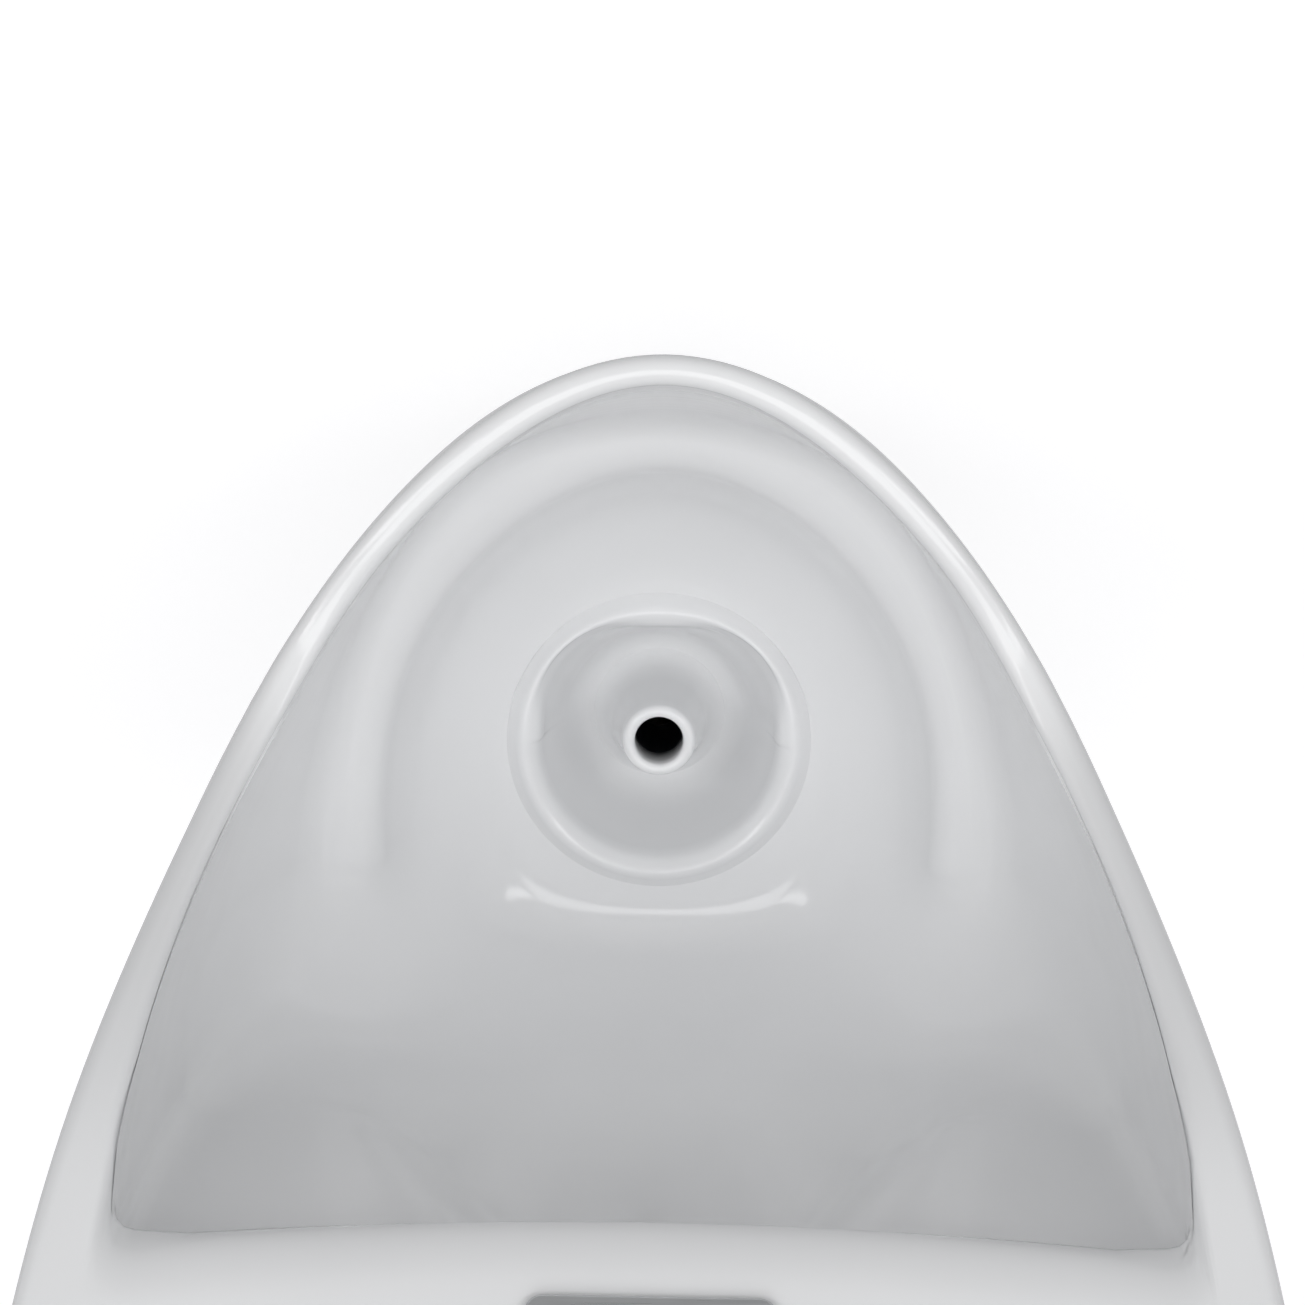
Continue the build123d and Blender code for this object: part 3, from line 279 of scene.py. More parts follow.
def clamped(xs, ys, startSlope=None, endSlope=None):
    # cubic through the points, smooth to the second derivative
    xs, ys = np.asarray(xs, float), np.asarray(ys, float)
    n, h = len(xs), np.diff(xs)
    rows, right = np.zeros((n, n)), np.zeros((n,) + ys.shape[1:])
    for i in range(1, n - 1):
        rows[i, i - 1 : i + 2] = h[i - 1], 2 * (h[i - 1] + h[i]), h[i]
        right[i] = 6 * ((ys[i + 1] - ys[i]) / h[i] - (ys[i] - ys[i - 1]) / h[i - 1])
    rows[0, 0] = rows[-1, -1] = 1
    if startSlope is not None:
        rows[0, :2] = 2 * h[0], h[0]
        right[0] = 6 * ((ys[1] - ys[0]) / h[0] - np.asarray(startSlope))
    if endSlope is not None:
        rows[-1, -2:] = h[-1], 2 * h[-1]
        right[-1] = 6 * (np.asarray(endSlope) - (ys[-1] - ys[-2]) / h[-1])
    bend = np.linalg.solve(rows, right)

    def read(x):
        x = np.asarray(x, float)
        i = np.clip(np.searchsorted(xs, x) - 1, 0, n - 2)
        a, b, w = xs[i + 1] - x, x - xs[i], h[i]
        if ys.ndim > 1:
            a, b, w = a[..., None], b[..., None], w[..., None]
        return (
            (bend[i] * a**3 + bend[i + 1] * b**3) / (6 * w)
            + (ys[i] / w - bend[i] * w / 6) * a
            + (ys[i + 1] / w - bend[i + 1] * w / 6) * b
        )

    return read


def evenly(points, startWay, endWay, count, fine=600):
    # count + 1 points at equal steps along the curve through the given ones
    points = np.asarray(points, float)
    chord = np.concatenate([[0], np.cumsum(np.linalg.norm(np.diff(points, axis=0), axis=1))])
    curve = clamped(chord, points, startWay, endWay)(np.linspace(0, chord[-1], fine))
    return respaced(curve, count)


def respaced(curve, count):
    run = np.concatenate([[0], np.cumsum(np.linalg.norm(np.diff(curve, axis=0), axis=1))])
    steps = np.linspace(0, run[-1], count + 1)
    return np.stack([np.interp(steps, run, curve[:, i]) for i in range(2)], 1)


def halfLoop(side, backEnd):
    # the side curve from the nose to the corner, then on to the middle of the back
    back = np.linspace(side[-1], backEnd, bodySettings["backPoints"] + 1)[1:]
    return np.concatenate([side, back])


def whole(half):
    # right half from nose to back middle, then the left half back to the nose
    return np.concatenate([half, (half * (-1, 1, 1))[-2:0:-1]])


def rimHeight(y):
    b = bodySettings
    tan = math.tan(math.radians(b["hoodAngle"]))
    ys, zs = zip(*b["rimSide"])
    wing = clamped(ys, zs, 0.0, tan)
    topY, topZ = b["hoodTop"]
    crown = clamped([topY, b["wall"]], [topZ, b["crownTop"]], tan, 0.1)
    y = np.asarray(y, float)
    rising = wing(np.clip(y, ys[0], ys[-1]))
    slope = zs[-1] + (y - ys[-1]) * tan
    rounded = crown(np.clip(y, topY, b["wall"]))
    return np.select([y < ys[0], y < ys[-1], y < topY], [zs[0], rising, slope], rounded)


def outerPlan(z, inset=0.0, past=0.0):
    # level outline, moved in by the inset on its curved side and out past the wall plane
    b = bodySettings
    levels = np.arange(len(b["halfWidths"])) * b["levelStep"]
    level = np.clip(z, 0, levels[-1])
    half = float(clamped(levels, b["halfWidths"])(level)) - inset
    nose = float(clamped(levels, b["noses"])(level)) + inset
    back = b["wall"] + past
    shares = [(half * u, nose + (back - nose) * v) for u, v in b["planShares"]]
    side = evenly([(0, nose), *shares, (half, back)], (1, 0), (0, 1), b["sidePoints"])
    return halfLoop(side, (0, back))


def openShare(z):
    zs, shares = zip(*cavitySettings["openingOut"])
    return np.clip(clamped(zs, shares, None, 0.0)(np.clip(z, zs[0], zs[-1])), 0, 1)


def cavitySide(share):
    # plan of the cavity's side, nose to back corner, for one share of its opening out
    c = cavitySettings
    points = [(0, (1 - share) * c["ledgeNose"] + share * c["rimNose"] + c["drainY"])]
    for (a, b), (d, e) in zip(c["ledgeOuter"], c["rimInner"]):
        points.append(((1 - share) * a + share * d, (1 - share) * b + share * e + c["drainY"]))
    return evenly(points, (1, 0), None, bodySettings["sidePoints"])


def recessDepth(x, z):
    # how far the arched recess lies behind the panel at this place
    c = cavitySettings
    levels = c["archFoot"] + np.arange(len(c["archOuter"])) * c["archStep"]
    outer = clamped(levels, c["archOuter"])(np.clip(z, levels[0], levels[-1]))
    inner = clamped(levels, c["archInner"])(np.clip(z, levels[0], levels[-1]))
    t = np.clip((outer - np.abs(x)) / (outer - inner), 0, 1)
    lean = np.clip((c["leanFrom"] - z) / (c["leanFrom"] - c["leanTo"]), 0, 1) * c["recessLean"]
    return (c["recessY"] - c["panelY"] + lean) * t * t * (3 - 2 * t)


def eggPlan(nose, half, back):
    # closed egg, with the same number of points before and behind its back corner as a loop
    shares = [(half * u, nose + (back - nose) * v) for u, v in bowlSettings["eggShares"]]
    curve = evenly([(0, nose), *shares, (0, back)], (1, 0), (-1, 0), 600)
    corner = int(np.linalg.norm(curve - shares[-1], axis=1).argmin())
    side = respaced(curve[: corner + 1], bodySettings["sidePoints"])
    return np.concatenate([side, respaced(curve[corner:], bodySettings["backPoints"])[1:]])


def bowlPlan(z):
    # open to the back panel at the ledge, closing to the egg further down
    s = bowlSettings
    levels = s["levels"][::-1]
    nose, half, back = clamped([r[0] for r in levels], [r[1:] for r in levels])(z)
    shares = [(half * u, nose + (back - nose) * v) for u, v in s["openShares"]]
    side = evenly([(0, nose), *shares], (1, 0), None, bodySettings["sidePoints"])
    wide = roundPlanCorner(halfLoop(side, (0, back)), s["openCorner"], 9)
    top = cavitySettings["ledgeZ"]
    share = np.clip((top - z) / (top - s["closedBy"]), 0, 1)
    share = share * share * (3 - 2 * share)
    return wide + (eggPlan(nose, half, back) - wide) * share


def cove(y):
    # how far the ledge and the bowl rise as they run into the back panel
    c = cavitySettings
    inward = np.clip(y - (c["panelY"] - c["coveRound"]), 0, c["coveRound"])
    return c["coveRound"] - np.sqrt(c["coveRound"] ** 2 - inward**2)


def distanceTo(line, points):
    # distance in plan from each point to a run of line, and the line's y direction there
    a, way = line[:-1], np.diff(line, axis=0)
    length = np.linalg.norm(way, axis=1)
    rel = points[:, None, :] - a[None]
    t = np.clip((rel * way).sum(2) / length**2, 0, 1)
    gap = np.linalg.norm(rel - t[..., None] * way, axis=2)
    nearest = gap.argmin(1)
    return gap[np.arange(len(points)), nearest], (way[:, 1] / length)[nearest]


def drop(distance, radius):
    d = np.clip(distance, 0, radius)
    return radius - np.sqrt(np.maximum(radius**2 - (radius - d) ** 2, 0))


def roundPlanCorner(half, leg, window=7):
    # rounds a half loop at its corner point by moving the points near it
    k = bodySettings["sidePoints"]
    a, c, b = half[k - window], half[k].copy(), half[k + window]
    la, lb = np.linalg.norm(a - c), np.linalg.norm(b - c)
    leg = min(leg, 0.95 * la, 0.95 * lb)
    p, q = c + (a - c) * leg / la, c + (b - c) * leg / lb
    s = np.linspace(0, 1, 9)[:, None]
    bend = (1 - s) ** 2 * p + 2 * s * (1 - s) * c + s**2 * q
    path = np.concatenate([[a], bend, [b]])
    run = np.concatenate([[0], np.cumsum(np.linalg.norm(np.diff(path, axis=0), axis=1))])
    steps = np.linspace(0, run[-1], 2 * window + 1)
    out = half.copy()
    moved = [np.interp(steps, run, path[:, i]) for i in range(half.shape[1])]
    out[k - window : k + window + 1] = np.stack(moved, 1)
    return out


def withZ(plan, z):
    return np.column_stack([plan, np.broadcast_to(z, len(plan))])


def cavityPoint(share, u, endY):
    # point at the share u of the cavity's side curve, cut off at endY
    key = (round(float(share), 3), round(float(endY), 2))
    if key not in sideCache:
        side = cavitySide(key[0])
        run = np.concatenate([[0], np.cumsum(np.linalg.norm(np.diff(side, axis=0), axis=1))])
        stop = np.interp(endY, side[:, 1], run)
        sideCache[key] = (side, run, stop)
    side, run, stop = sideCache[key]
    return [np.interp(u * stop, run, side[:, i]) for i in range(2)]


def cavityRow(heights, endY):
    # the cavity's side in plan, nose to back corner, each point at its own height
    spread = np.linspace(0, 1, len(heights))
    return np.array([cavityPoint(openShare(h), u, endY) for h, u in zip(heights, spread)])


def layBack(loop, y):
    # spreads the points behind the corner evenly along the back
    k = bodySettings["sidePoints"]
    loop[k:, 0] = np.linspace(loop[k, 0], 0, bodySettings["backPoints"] + 1)
    loop[k:, 1] = y


def innerEdge():
    # inner edge of the rim, where the cavity meets the rim's height
    b = bodySettings
    k, hoodY = b["sidePoints"], b["rimSide"][-1][0]
    side = cavitySide(1.0)
    for _ in range(30):
        side = 0.5 * side + 0.5 * cavityRow(rimHeight(side[:, 1]), hoodY + b["hoodArch"])
    inner = halfLoop(side, (0, hoodY))
    x = inner[k:, 0]
    inner[k:, 1] = hoodY + b["hoodArch"] * (x / x[0]) ** 2
    return roundPlanCorner(inner, 9)


def rimLoops():
    # outer edge, band over the rim and hood, inner edge
    b = bodySettings
    k = b["sidePoints"]
    outer, inner = outerPlan(b["crownTop"]), innerEdge()
    width = np.linalg.norm(inner - outer, axis=1)[:, None]
    near = np.minimum(b["outerRound"] * 1.2, 0.42 * width)
    # the inner round grows from the rim's to the hood lip's at the corner
    blend = np.clip((np.arange(len(inner)) - (k - 10)) / 12, 0, 1)[:, None]
    lip = b["innerRound"] + (b["lipRound"] - b["innerRound"]) * blend * blend * (3 - 2 * blend)
    far = np.minimum(lip * 1.1, 0.48 * width)
    turns = np.radians(b["rimTurns"])
    ways = [near * (1 - math.cos(t)) for t in turns]
    ways += [near + (width - near - far) * m for m in np.linspace(0, 1, b["rimSteps"])]
    ways += [width - far * (1 - math.cos(t)) for t in turns[::-1]]
    loops = []
    for way in ways:
        plan = outer + (inner - outer) * way / width
        gapOut, slantOut = distanceTo(outer[: k + 1], plan)
        gapIn, slantIn = distanceTo(inner, plan)
        y = plan[:, 1]
        steep = (rimHeight(y + 0.5) - rimHeight(y - 0.5)) ** 2
        high = rimHeight(y)
        high = high - drop(gapOut, b["outerRound"]) * np.sqrt(1 + steep * slantOut**2)
        high = high - drop(gapIn, lip[:, 0]) * np.sqrt(1 + steep * slantIn**2)
        loops.append(withZ(plan, high))
    return loops


def footLoops():
    # rounded foot, then the plain levels of the outer wall
    b = bodySettings
    loops = []
    for inset, z in b["footLevels"]:
        plan = outerPlan(z)
        way = np.array([0, b["footMiddle"]]) - plan
        way = way / np.linalg.norm(way, axis=1)[:, None]
        way[plan[:, 1] > b["wall"] - 0.01] *= (1, 0)
        plan = plan + way * inset
        plan[:, 1] = np.minimum(plan[:, 1], b["wall"])
        loops.append(withZ(plan, z))
    for z in np.linspace(*b["plainLevels"]):
        loops.append(drawnIn(withZ(outerPlan(z), z)))
    return loops


def tiltedLoops(top):
    # levels of the outer wall that tilt step by step into the rim
    b = bodySettings
    start = b["plainLevels"][1]
    loops = []
    for s in np.linspace(0, 1, b["tiltSteps"] + 1)[1:-1]:
        z = start + s * (top[:, 2] - start)
        rows = [outerPlan(h)[i] for i, h in enumerate(np.minimum(z, b["plansTo"]))]
        loops.append(drawnIn(np.column_stack([rows, z])))
    return loops


def drawnIn(loop):
    # keeps the nose behind its reach at this height
    n = noseSettings
    heights, reach = zip(*n["reach"])
    extra = max(0.0, np.interp(loop[0, 2], heights, reach) - loop[0, 1])
    fade = np.clip(1 - (loop[:, 0] / n["width"]) ** 2, 0, 1) ** 2 * (loop[:, 1] < 0)
    moved = loop.copy()
    moved[:, 1] += extra * fade
    return moved


def lipLoops(edge):
    # under the hood's edge back to the panel; the side walls start down at the same time
    c, k = cavitySettings, bodySettings["sidePoints"]
    blend = np.clip((np.arange(k + 1) - (k - 12)) / 12, 0, 1)
    loops = []
    for back, down, fall in c["lipPath"]:
        loop = edge.copy()
        z = edge[: k + 1, 2] - fall
        loop[: k + 1, :2] = cavityRow(z, edge[k, 1] + (c["panelY"] - edge[k, 1]) * back)
        loop[k:, 2] = edge[k:, 2] + (c["roofZ"] - edge[k:, 2]) * down
        loop[: k + 1, 2] = z * (1 - blend) + blend * loop[k, 2]
        layBack(loop, edge[k:, 1] + (c["panelY"] - edge[k:, 1]) * back)
        loops.append(roundPlanCorner(loop, 8))
    return loops, loop


def wallLoops(start):
    # side walls and back panel, down to their soft foot above the ledge
    c, k = cavitySettings, bodySettings["sidePoints"]
    footZ = c["ledgeZ"] + c["footRound"]
    low = footZ + cove(cavityRow(np.full(k + 1, footZ), c["panelY"])[:, 1])
    low = np.concatenate([low, np.full(bodySettings["backPoints"], low[-1])])
    loops = []
    for s in np.linspace(0, 1, c["wallSteps"] + 1)[1:]:
        loop = start.copy()
        loop[:, 2] = start[:, 2] + (low - start[:, 2]) * s
        loop[: k + 1, :2] = cavityRow(loop[: k + 1, 2], c["panelY"])
        layBack(loop, c["panelY"])
        loops.append(intoRecess(roundPlanCorner(loop, 8 + 8 * s)))
    return loops


def intoRecess(loop):
    start, full = cavitySettings["recessFrom"]
    moved = loop.copy()
    moved[:, 1] += recessDepth(loop[:, 0], loop[:, 2]) * np.clip((loop[:, 1] - start) / (full - start), 0, 1)
    return moved


def bend(first, corner, last, s):
    return (1 - s) ** 2 * first + 2 * s * (1 - s) * corner + s**2 * last


def ledgeLoops(wallFoot):
    # ledge, with soft outer and inner corners
    c, k = cavitySettings, bodySettings["sidePoints"]
    outer = wallFoot.copy()
    outer[: k + 1, :2] = cavitySide(0.0)
    layBack(outer, c["panelY"])
    outer = roundPlanCorner(outer, 16)
    outer[:, 2] = c["ledgeZ"] + cove(outer[:, 1])
    outer = intoRecess(outer)
    middleFall, innerFall = c["ledgeFall"]
    plan = bowlPlan(c["ledgeZ"])
    inner = withZ(plan, c["ledgeZ"] - innerFall + cove(plan[:, 1]))
    middle = outer * 0.55 + inner * 0.45
    middle[:, 2] = c["ledgeZ"] - middleFall + cove(middle[:, 1])
    below = bowlLoop(bowlSettings["bendTo"])
    return [bend(wallFoot, outer, middle, s) for s in c["outerBend"]] + [
        bend(middle, inner, below, s) for s in c["innerBend"]
    ]


def bowlLoop(z):
    # one level of the bowl, lifted towards the back panel by less and less further down
    floor, top = wellSettings["floor"], cavitySettings["ledgeZ"]
    plan = bowlPlan(z)
    return withZ(plan, z + cove(plan[:, 1]) * np.clip((z - floor) / (top - floor), 0, 1) ** 1.5)


def circleLoop(radius, z, mouth):
    # half loop round the drain; mouth = 1 makes its nose side the well's rounded square
    w = wellSettings
    count = bodySettings["sidePoints"] + bodySettings["backPoints"]
    turn = np.linspace(0, math.pi, count + 1)
    x, y = np.sin(turn), np.cos(turn)
    flat, corner = w["mouthHalf"] * radius / w["beadIn"], w["mouthCorner"] * radius / w["beadIn"]
    square = flat / np.maximum(np.abs(x), np.abs(y))
    centre = flat - corner
    along = (x + y) * centre
    arc = along + np.sqrt(np.maximum(along**2 - 2 * centre * centre + corner * corner, 0))
    inCorner = (np.minimum(x, y) * square) > centre
    reach = np.where(y > 0, np.where(inCorner, arc, square), radius)
    mixed = radius + (reach - radius) * mouth
    return np.column_stack([mixed * x, -mixed * y + cavitySettings["drainY"], np.full(count + 1, z)])


def wellLoops():
    # flat round the well, its bead and its wall, then up the standpipe and down its bore
    w = wellSettings
    floor, fall = w["floor"], w["floorFall"]
    floorEdge = withZ(bowlPlan(floor), floor + fall)
    beadFoot = circleLoop(w["beadOut"] + 1.5, floor - fall, 0)
    loops = [floorEdge * (1 - s) + beadFoot * s for s in (0.0, 0.35, 0.7, 1.0)]
    for s in np.linspace(0, 1, 11)[1:]:
        radius = w["beadOut"] + (w["beadIn"] - w["beadOut"]) * s
        rise = w["beadRise"] * math.sin(math.pi * min(s, 0.985) * 0.93)
        loops.append(circleLoop(radius, floor + rise, s**2))
    for radius, high in w["profile"]:
        loops.append(circleLoop(radius, floor + high, np.clip(1 + high / 22, 0, 1)))
    for radius, high in w["pipe"] + w["ring"] + w["bore"]:
        loops.append(circleLoop(radius, floor + high, 0))
    return loops


def softened(grid, first):
    # evens out the places where walls, ledge and back panel run together
    s = softSettings
    share = np.ones(grid.shape[:2])
    for axis, (start, full) in ((1, s["y"]), (2, s["z"]), (2, s["top"])):
        share = share * np.clip((grid[:, :, axis] - start) / (full - start), 0, 1)
    share[:first] = 0
    mirror = np.array([-1, 1, 1])
    for _ in range(s["rounds"]):
        wide = np.concatenate([grid[:, 1:2] * mirror, grid, grid[:, -2:-1] * mirror], axis=1)
        near = (np.roll(grid, 1, 0) + np.roll(grid, -1, 0) + wide[:, 2:] + wide[:, :-2]) / 4
        grid = grid + s["step"] * share[:, :, None] * (near - grid)
    return list(grid)


def bodyLoops():
    rim = rimLoops()
    lip, start = lipLoops(rim[-1])
    outside = footLoops() + tiltedLoops(rim[0]) + rim + lip
    walls = wallLoops(start)
    bowl = [bowlLoop(z) for z in np.linspace(*bowlSettings["steps"])]
    inside = walls + ledgeLoops(walls[-1]) + bowl + wellLoops()
    return softened(np.array(outside + inside), len(outside))


def solidFromLoops(name, loops):
    # skin over the loops, closed with a flat face at each end
    rings = np.stack([whole(loop) for loop in loops])
    count = rings.shape[1]
    faces = []
    for r in range(len(rings) - 1):
        for i in range(count):
            j = (i + 1) % count
            faces.append((r * count + i, r * count + j, (r + 1) * count + j, (r + 1) * count + i))
    faces.append(tuple(range(count))[::-1])
    last = (len(rings) - 1) * count
    faces.append(tuple(last + i for i in range(count)))
    mesh = bpy.data.meshes.new(name)
    mesh.from_pydata([tuple(v) for v in rings.reshape(-1, 3) * mm], [], faces)
    shell = bmesh.new()
    shell.from_mesh(mesh)
    bmesh.ops.remove_doubles(shell, verts=shell.verts, dist=1e-6)
    bmesh.ops.recalc_face_normals(shell, faces=shell.faces)
    shell.to_mesh(mesh)
    shell.free()
    return placed(name, mesh)


def placed(name, mesh):
    piece = bpy.data.objects.new(name, mesh)
    bpy.context.scene.collection.objects.link(piece)
    return piece


def boxTool(name, middle, size):
    tool = bmesh.new()
    bmesh.ops.create_cube(tool, size=1.0)
    bmesh.ops.scale(tool, vec=size, verts=tool.verts)
    bmesh.ops.translate(tool, vec=middle, verts=tool.verts)
    return toolPiece(name, tool)


def rodTool(name, middle, way, radius, length):
    tool = bmesh.new()
    bmesh.ops.create_cone(
        tool, cap_ends=True, segments=64, radius1=radius, radius2=radius, depth=length
    )
    turn = Vector(way).to_track_quat("Z", "Y").to_matrix().to_4x4()
    bmesh.ops.transform(tool, matrix=Matrix.Translation(middle) @ turn, verts=tool.verts)
    return toolPiece(name, tool)


def toolPiece(name, tool):
    # a cutter, drawn in millimetres
    bmesh.ops.scale(tool, vec=(mm, mm, mm), verts=tool.verts)
    bmesh.ops.recalc_face_normals(tool, faces=tool.faces)
    mesh = bpy.data.meshes.new(name)
    tool.to_mesh(mesh)
    tool.free()
    return placed(name, mesh)


def prismTool(name, outline, matrix, low, high):
    # closed prism over a flat outline, set in place by the matrix
    tool = bmesh.new()
    foot = [tool.verts.new((*p, low)) for p in outline]
    head = [tool.verts.new((*p, high)) for p in outline]
    tool.faces.new(foot[::-1])
    tool.faces.new(head)
    for i in range(len(outline)):
        j = (i + 1) % len(outline)
        tool.faces.new((foot[i], foot[j], head[j], head[i]))
    bmesh.ops.transform(tool, matrix=matrix, verts=tool.verts)
    return toolPiece(name, tool)


def carve(piece, tool, operation="DIFFERENCE"):
    # the faces that the tool leaves keep its material as a mark
    if not tool.data.materials:
        tool.data.materials.append(cutMark)
    cut = piece.modifiers.new("cut", "BOOLEAN")
    cut.operation, cut.object, cut.solver = operation, tool, "EXACT"
    cut.material_mode = "TRANSFER"
    graph = bpy.context.evaluated_depsgraph_get()
    made = bpy.data.meshes.new_from_object(piece.evaluated_get(graph))
    piece.modifiers.remove(cut)
    piece.data = made
    bpy.data.objects.remove(tool)


def pedestalSpace():
    # hollow of the foot, up to the skin left under the bowl and the well
    h = hollowSettings
    china = h["china"]
    low = [-1, *np.linspace(h["pedestalFrom"], h["frontTop"], 24)]
    space = solidFromLoops("pedestalSpace", [withZ(outerPlan(z, china, 1), z) for z in low])
    levels = []
    for z, nose, half, back in bowlSettings["levels"][::-1]:
        levels.append((z - h["skinDrop"], nose - china, half + china, min(back + china, h["slabBack"])))
    skinForm = clamped([r[0] for r in levels], [r[1:] for r in levels])
    skin = [circleLoop(radius, z, 0) for radius, z in h["underWell"]]
    skin += [withZ(eggPlan(*skinForm(z)), z) for z in np.linspace(levels[0][0], levels[-1][0], 16)]
    carve(space, solidFromLoops("bowlSkin", skin))
    return space


def rearSpace():
    # hollow behind the bowl and under the hood, round the two bracket shelves
    h, b = hollowSettings, bodySettings
    china, angle = h["china"], math.radians(b["hoodAngle"])
    space = solidFromLoops("rearSpace", [withZ(outerPlan(z, china, 1), z) for z in h["rearLevels"]])
    back, down = china * math.sin(angle), china * math.cos(angle)
    run = np.linspace(h["slabBack"], b["wall"] + 2, 40)
    roof = [(y, float(rimHeight(min(y - back, b["wall"]))) - down) for y in run]
    low = h["frontTop"] - 10
    side = [(h["slabBack"], low), *roof, (b["wall"] + 2, low)]
    upright = Matrix(((0, 0, 1, 0), (1, 0, 0, 0), (0, 1, 0, 0), (0, 0, 0, 1)))
    carve(space, prismTool("rearProfile", side, upright, -300, 300), "INTERSECT")
    (x, y, z), size = h["shelf"]
    for way in (1, -1):
        carve(space, boxTool("shelf", (way * x, y, z), size))
    return space


def cutSensorOpening(body):
    h, b = hollowSettings, bodySettings
    angle = math.radians(b["hoodAngle"])
    along, out = (0, math.cos(angle), math.sin(angle)), (0, -math.sin(angle), math.cos(angle))
    middle = np.array([0, *b["rimSide"][-1]]) + h["sensorMiddle"] * np.array(along)
    hood = Matrix.Translation(middle) @ Matrix(((1, 0, 0), along, out)).transposed().to_4x4()
    width, length, corner = h["sensorOpening"]
    outline = []
    for turn in range(4):
        cx = (width / 2 - corner) * (1, -1, -1, 1)[turn]
        cy = (length / 2 - corner) * (1, 1, -1, -1)[turn]
        for step in range(9):
            t = math.pi / 2 * (turn + step / 8)
            outline.append((cx + corner * math.cos(t), cy + corner * math.sin(t)))
    carve(body, prismTool("sensorOpening", outline, hood, *h["sensorDepth"]))


def cutHoles(body):
    # inlet, bracket and floor screw holes, and the bore of the spigot
    h = hollowSettings
    height, radius = h["inlet"]
    carve(body, rodTool("inletHole", (0, h["slabBack"], height), (0, 1, 0), radius, 40))
    shelfZ = h["shelf"][0][2]
    x, y, radius = h["shelfHole"]
    face, screwY, screwZ, hole, seat = h["sideScrew"]
    for way in (1, -1):
        carve(body, rodTool("shelfHole", (way * x, y, shelfZ), (0, 0, 1), radius, 30))
        carve(body, rodTool("screwHole", (way * face, screwY, screwZ), (1, 0, 0), hole, 60))
        carve(body, rodTool("screwSeat", (way * (face + 10), screwY, screwZ), (1, 0, 0), seat, 20))
    height, radius, length = h["spigotBore"]
    carve(body, rodTool("spigotBore", (0, cavitySettings["drainY"], height), (0, 0, 1), radius, length))


def makeCamera():
    s = cameraSettings
    camera = bpy.data.cameras.new("camera")
    camera.lens = s["lens"]
    camera.sensor_width = s["sensor"]
    holder = bpy.data.objects.new("camera", camera)
    p = math.radians(s["pitch"])
    look = Matrix(((-1, 0, 0), (0, -math.cos(p), -math.sin(p)), (0, -math.sin(p), math.cos(p)))).transposed()
    turn = look @ Matrix.Rotation(math.radians(s["roll"]), 3, "Z")
    holder.matrix_world = Matrix.Translation(s["place"]) @ turn.to_4x4()
    bpy.context.scene.collection.objects.link(holder)
    bpy.context.scene.camera = holder


def makeLights():
    for i, (place, aim, width, height, watts) in enumerate(lightSettings["softboxes"]):
        light = bpy.data.lights.new(f"softbox{i}", "AREA")
        light.shape = "RECTANGLE"
        light.size, light.size_y, light.energy = width, height, watts
        holder = bpy.data.objects.new(f"softbox{i}", light)
        holder.location = place
        holder.rotation_euler = (Vector(aim) - Vector(place)).to_track_quat("-Z", "Y").to_euler()
        bpy.context.scene.collection.objects.link(holder)
    world = bpy.data.worlds.new("studio")
    bpy.context.scene.world = world
    world.use_nodes = True
    nodes, links = world.node_tree.nodes, world.node_tree.links
    nodes.clear()
    output = nodes.new("ShaderNodeOutputWorld")
    place = nodes.new("ShaderNodeTexCoord")
    height = nodes.new("ShaderNodeSeparateXYZ")
    links.new(place.outputs["Generated"], height.inputs["Vector"])
    dome = nodes.new("ShaderNodeBackground")
    bright = ranged(nodes, links, height.outputs["Z"], *lightSettings["dome"], *lightSettings["domeHeights"])
    links.new(bright, dome.inputs["Strength"])
    seen = nodes.new("ShaderNodeBackground")
    mix = nodes.new("ShaderNodeMixShader")
    links.new(backdropShare(nodes, links), mix.inputs["Fac"])
    for i, source in enumerate((dome, seen)):
        source.inputs["Color"].default_value = (1, 1, 1, 1)
        links.new(source.outputs[0], mix.inputs[i + 1])
    links.new(mix.outputs[0], output.inputs["Surface"])


def backdropShare(nodes, links):
    # the white backdrop shows to the camera and through glass, and in part to mirrors
    path = nodes.new("ShaderNodeLightPath")
    mirror = nodes.new("ShaderNodeMath")
    mirror.operation = "MULTIPLY"
    mirror.inputs[1].default_value = floorSettings["inMirrors"]
    links.new(path.outputs["Is Glossy Ray"], mirror.inputs[0])
    share = path.outputs["Is Camera Ray"]
    for other in (mirror.outputs[0], path.outputs["Is Transmission Ray"]):
        most = nodes.new("ShaderNodeMath")
        most.operation = "MAXIMUM"
        links.new(share, most.inputs[0])
        links.new(other, most.inputs[1])
        share = most.outputs[0]
    return share


def emptyMaterial(name):
    made = bpy.data.materials.new(name)
    made.use_nodes = True
    return made, made.node_tree.nodes, made.node_tree.links


def objectNoise(nodes, links, scale, stretch=(1, 1, 1), detail=3):
    place = nodes.new("ShaderNodeTexCoord")
    turn = nodes.new("ShaderNodeMapping")
    turn.inputs["Scale"].default_value = stretch
    cloud = nodes.new("ShaderNodeTexNoise")
    cloud.inputs["Scale"].default_value = scale
    cloud.inputs["Detail"].default_value = detail
    links.new(place.outputs["Object"], turn.inputs["Vector"])
    links.new(turn.outputs["Vector"], cloud.inputs["Vector"])
    return cloud.outputs["Fac"]


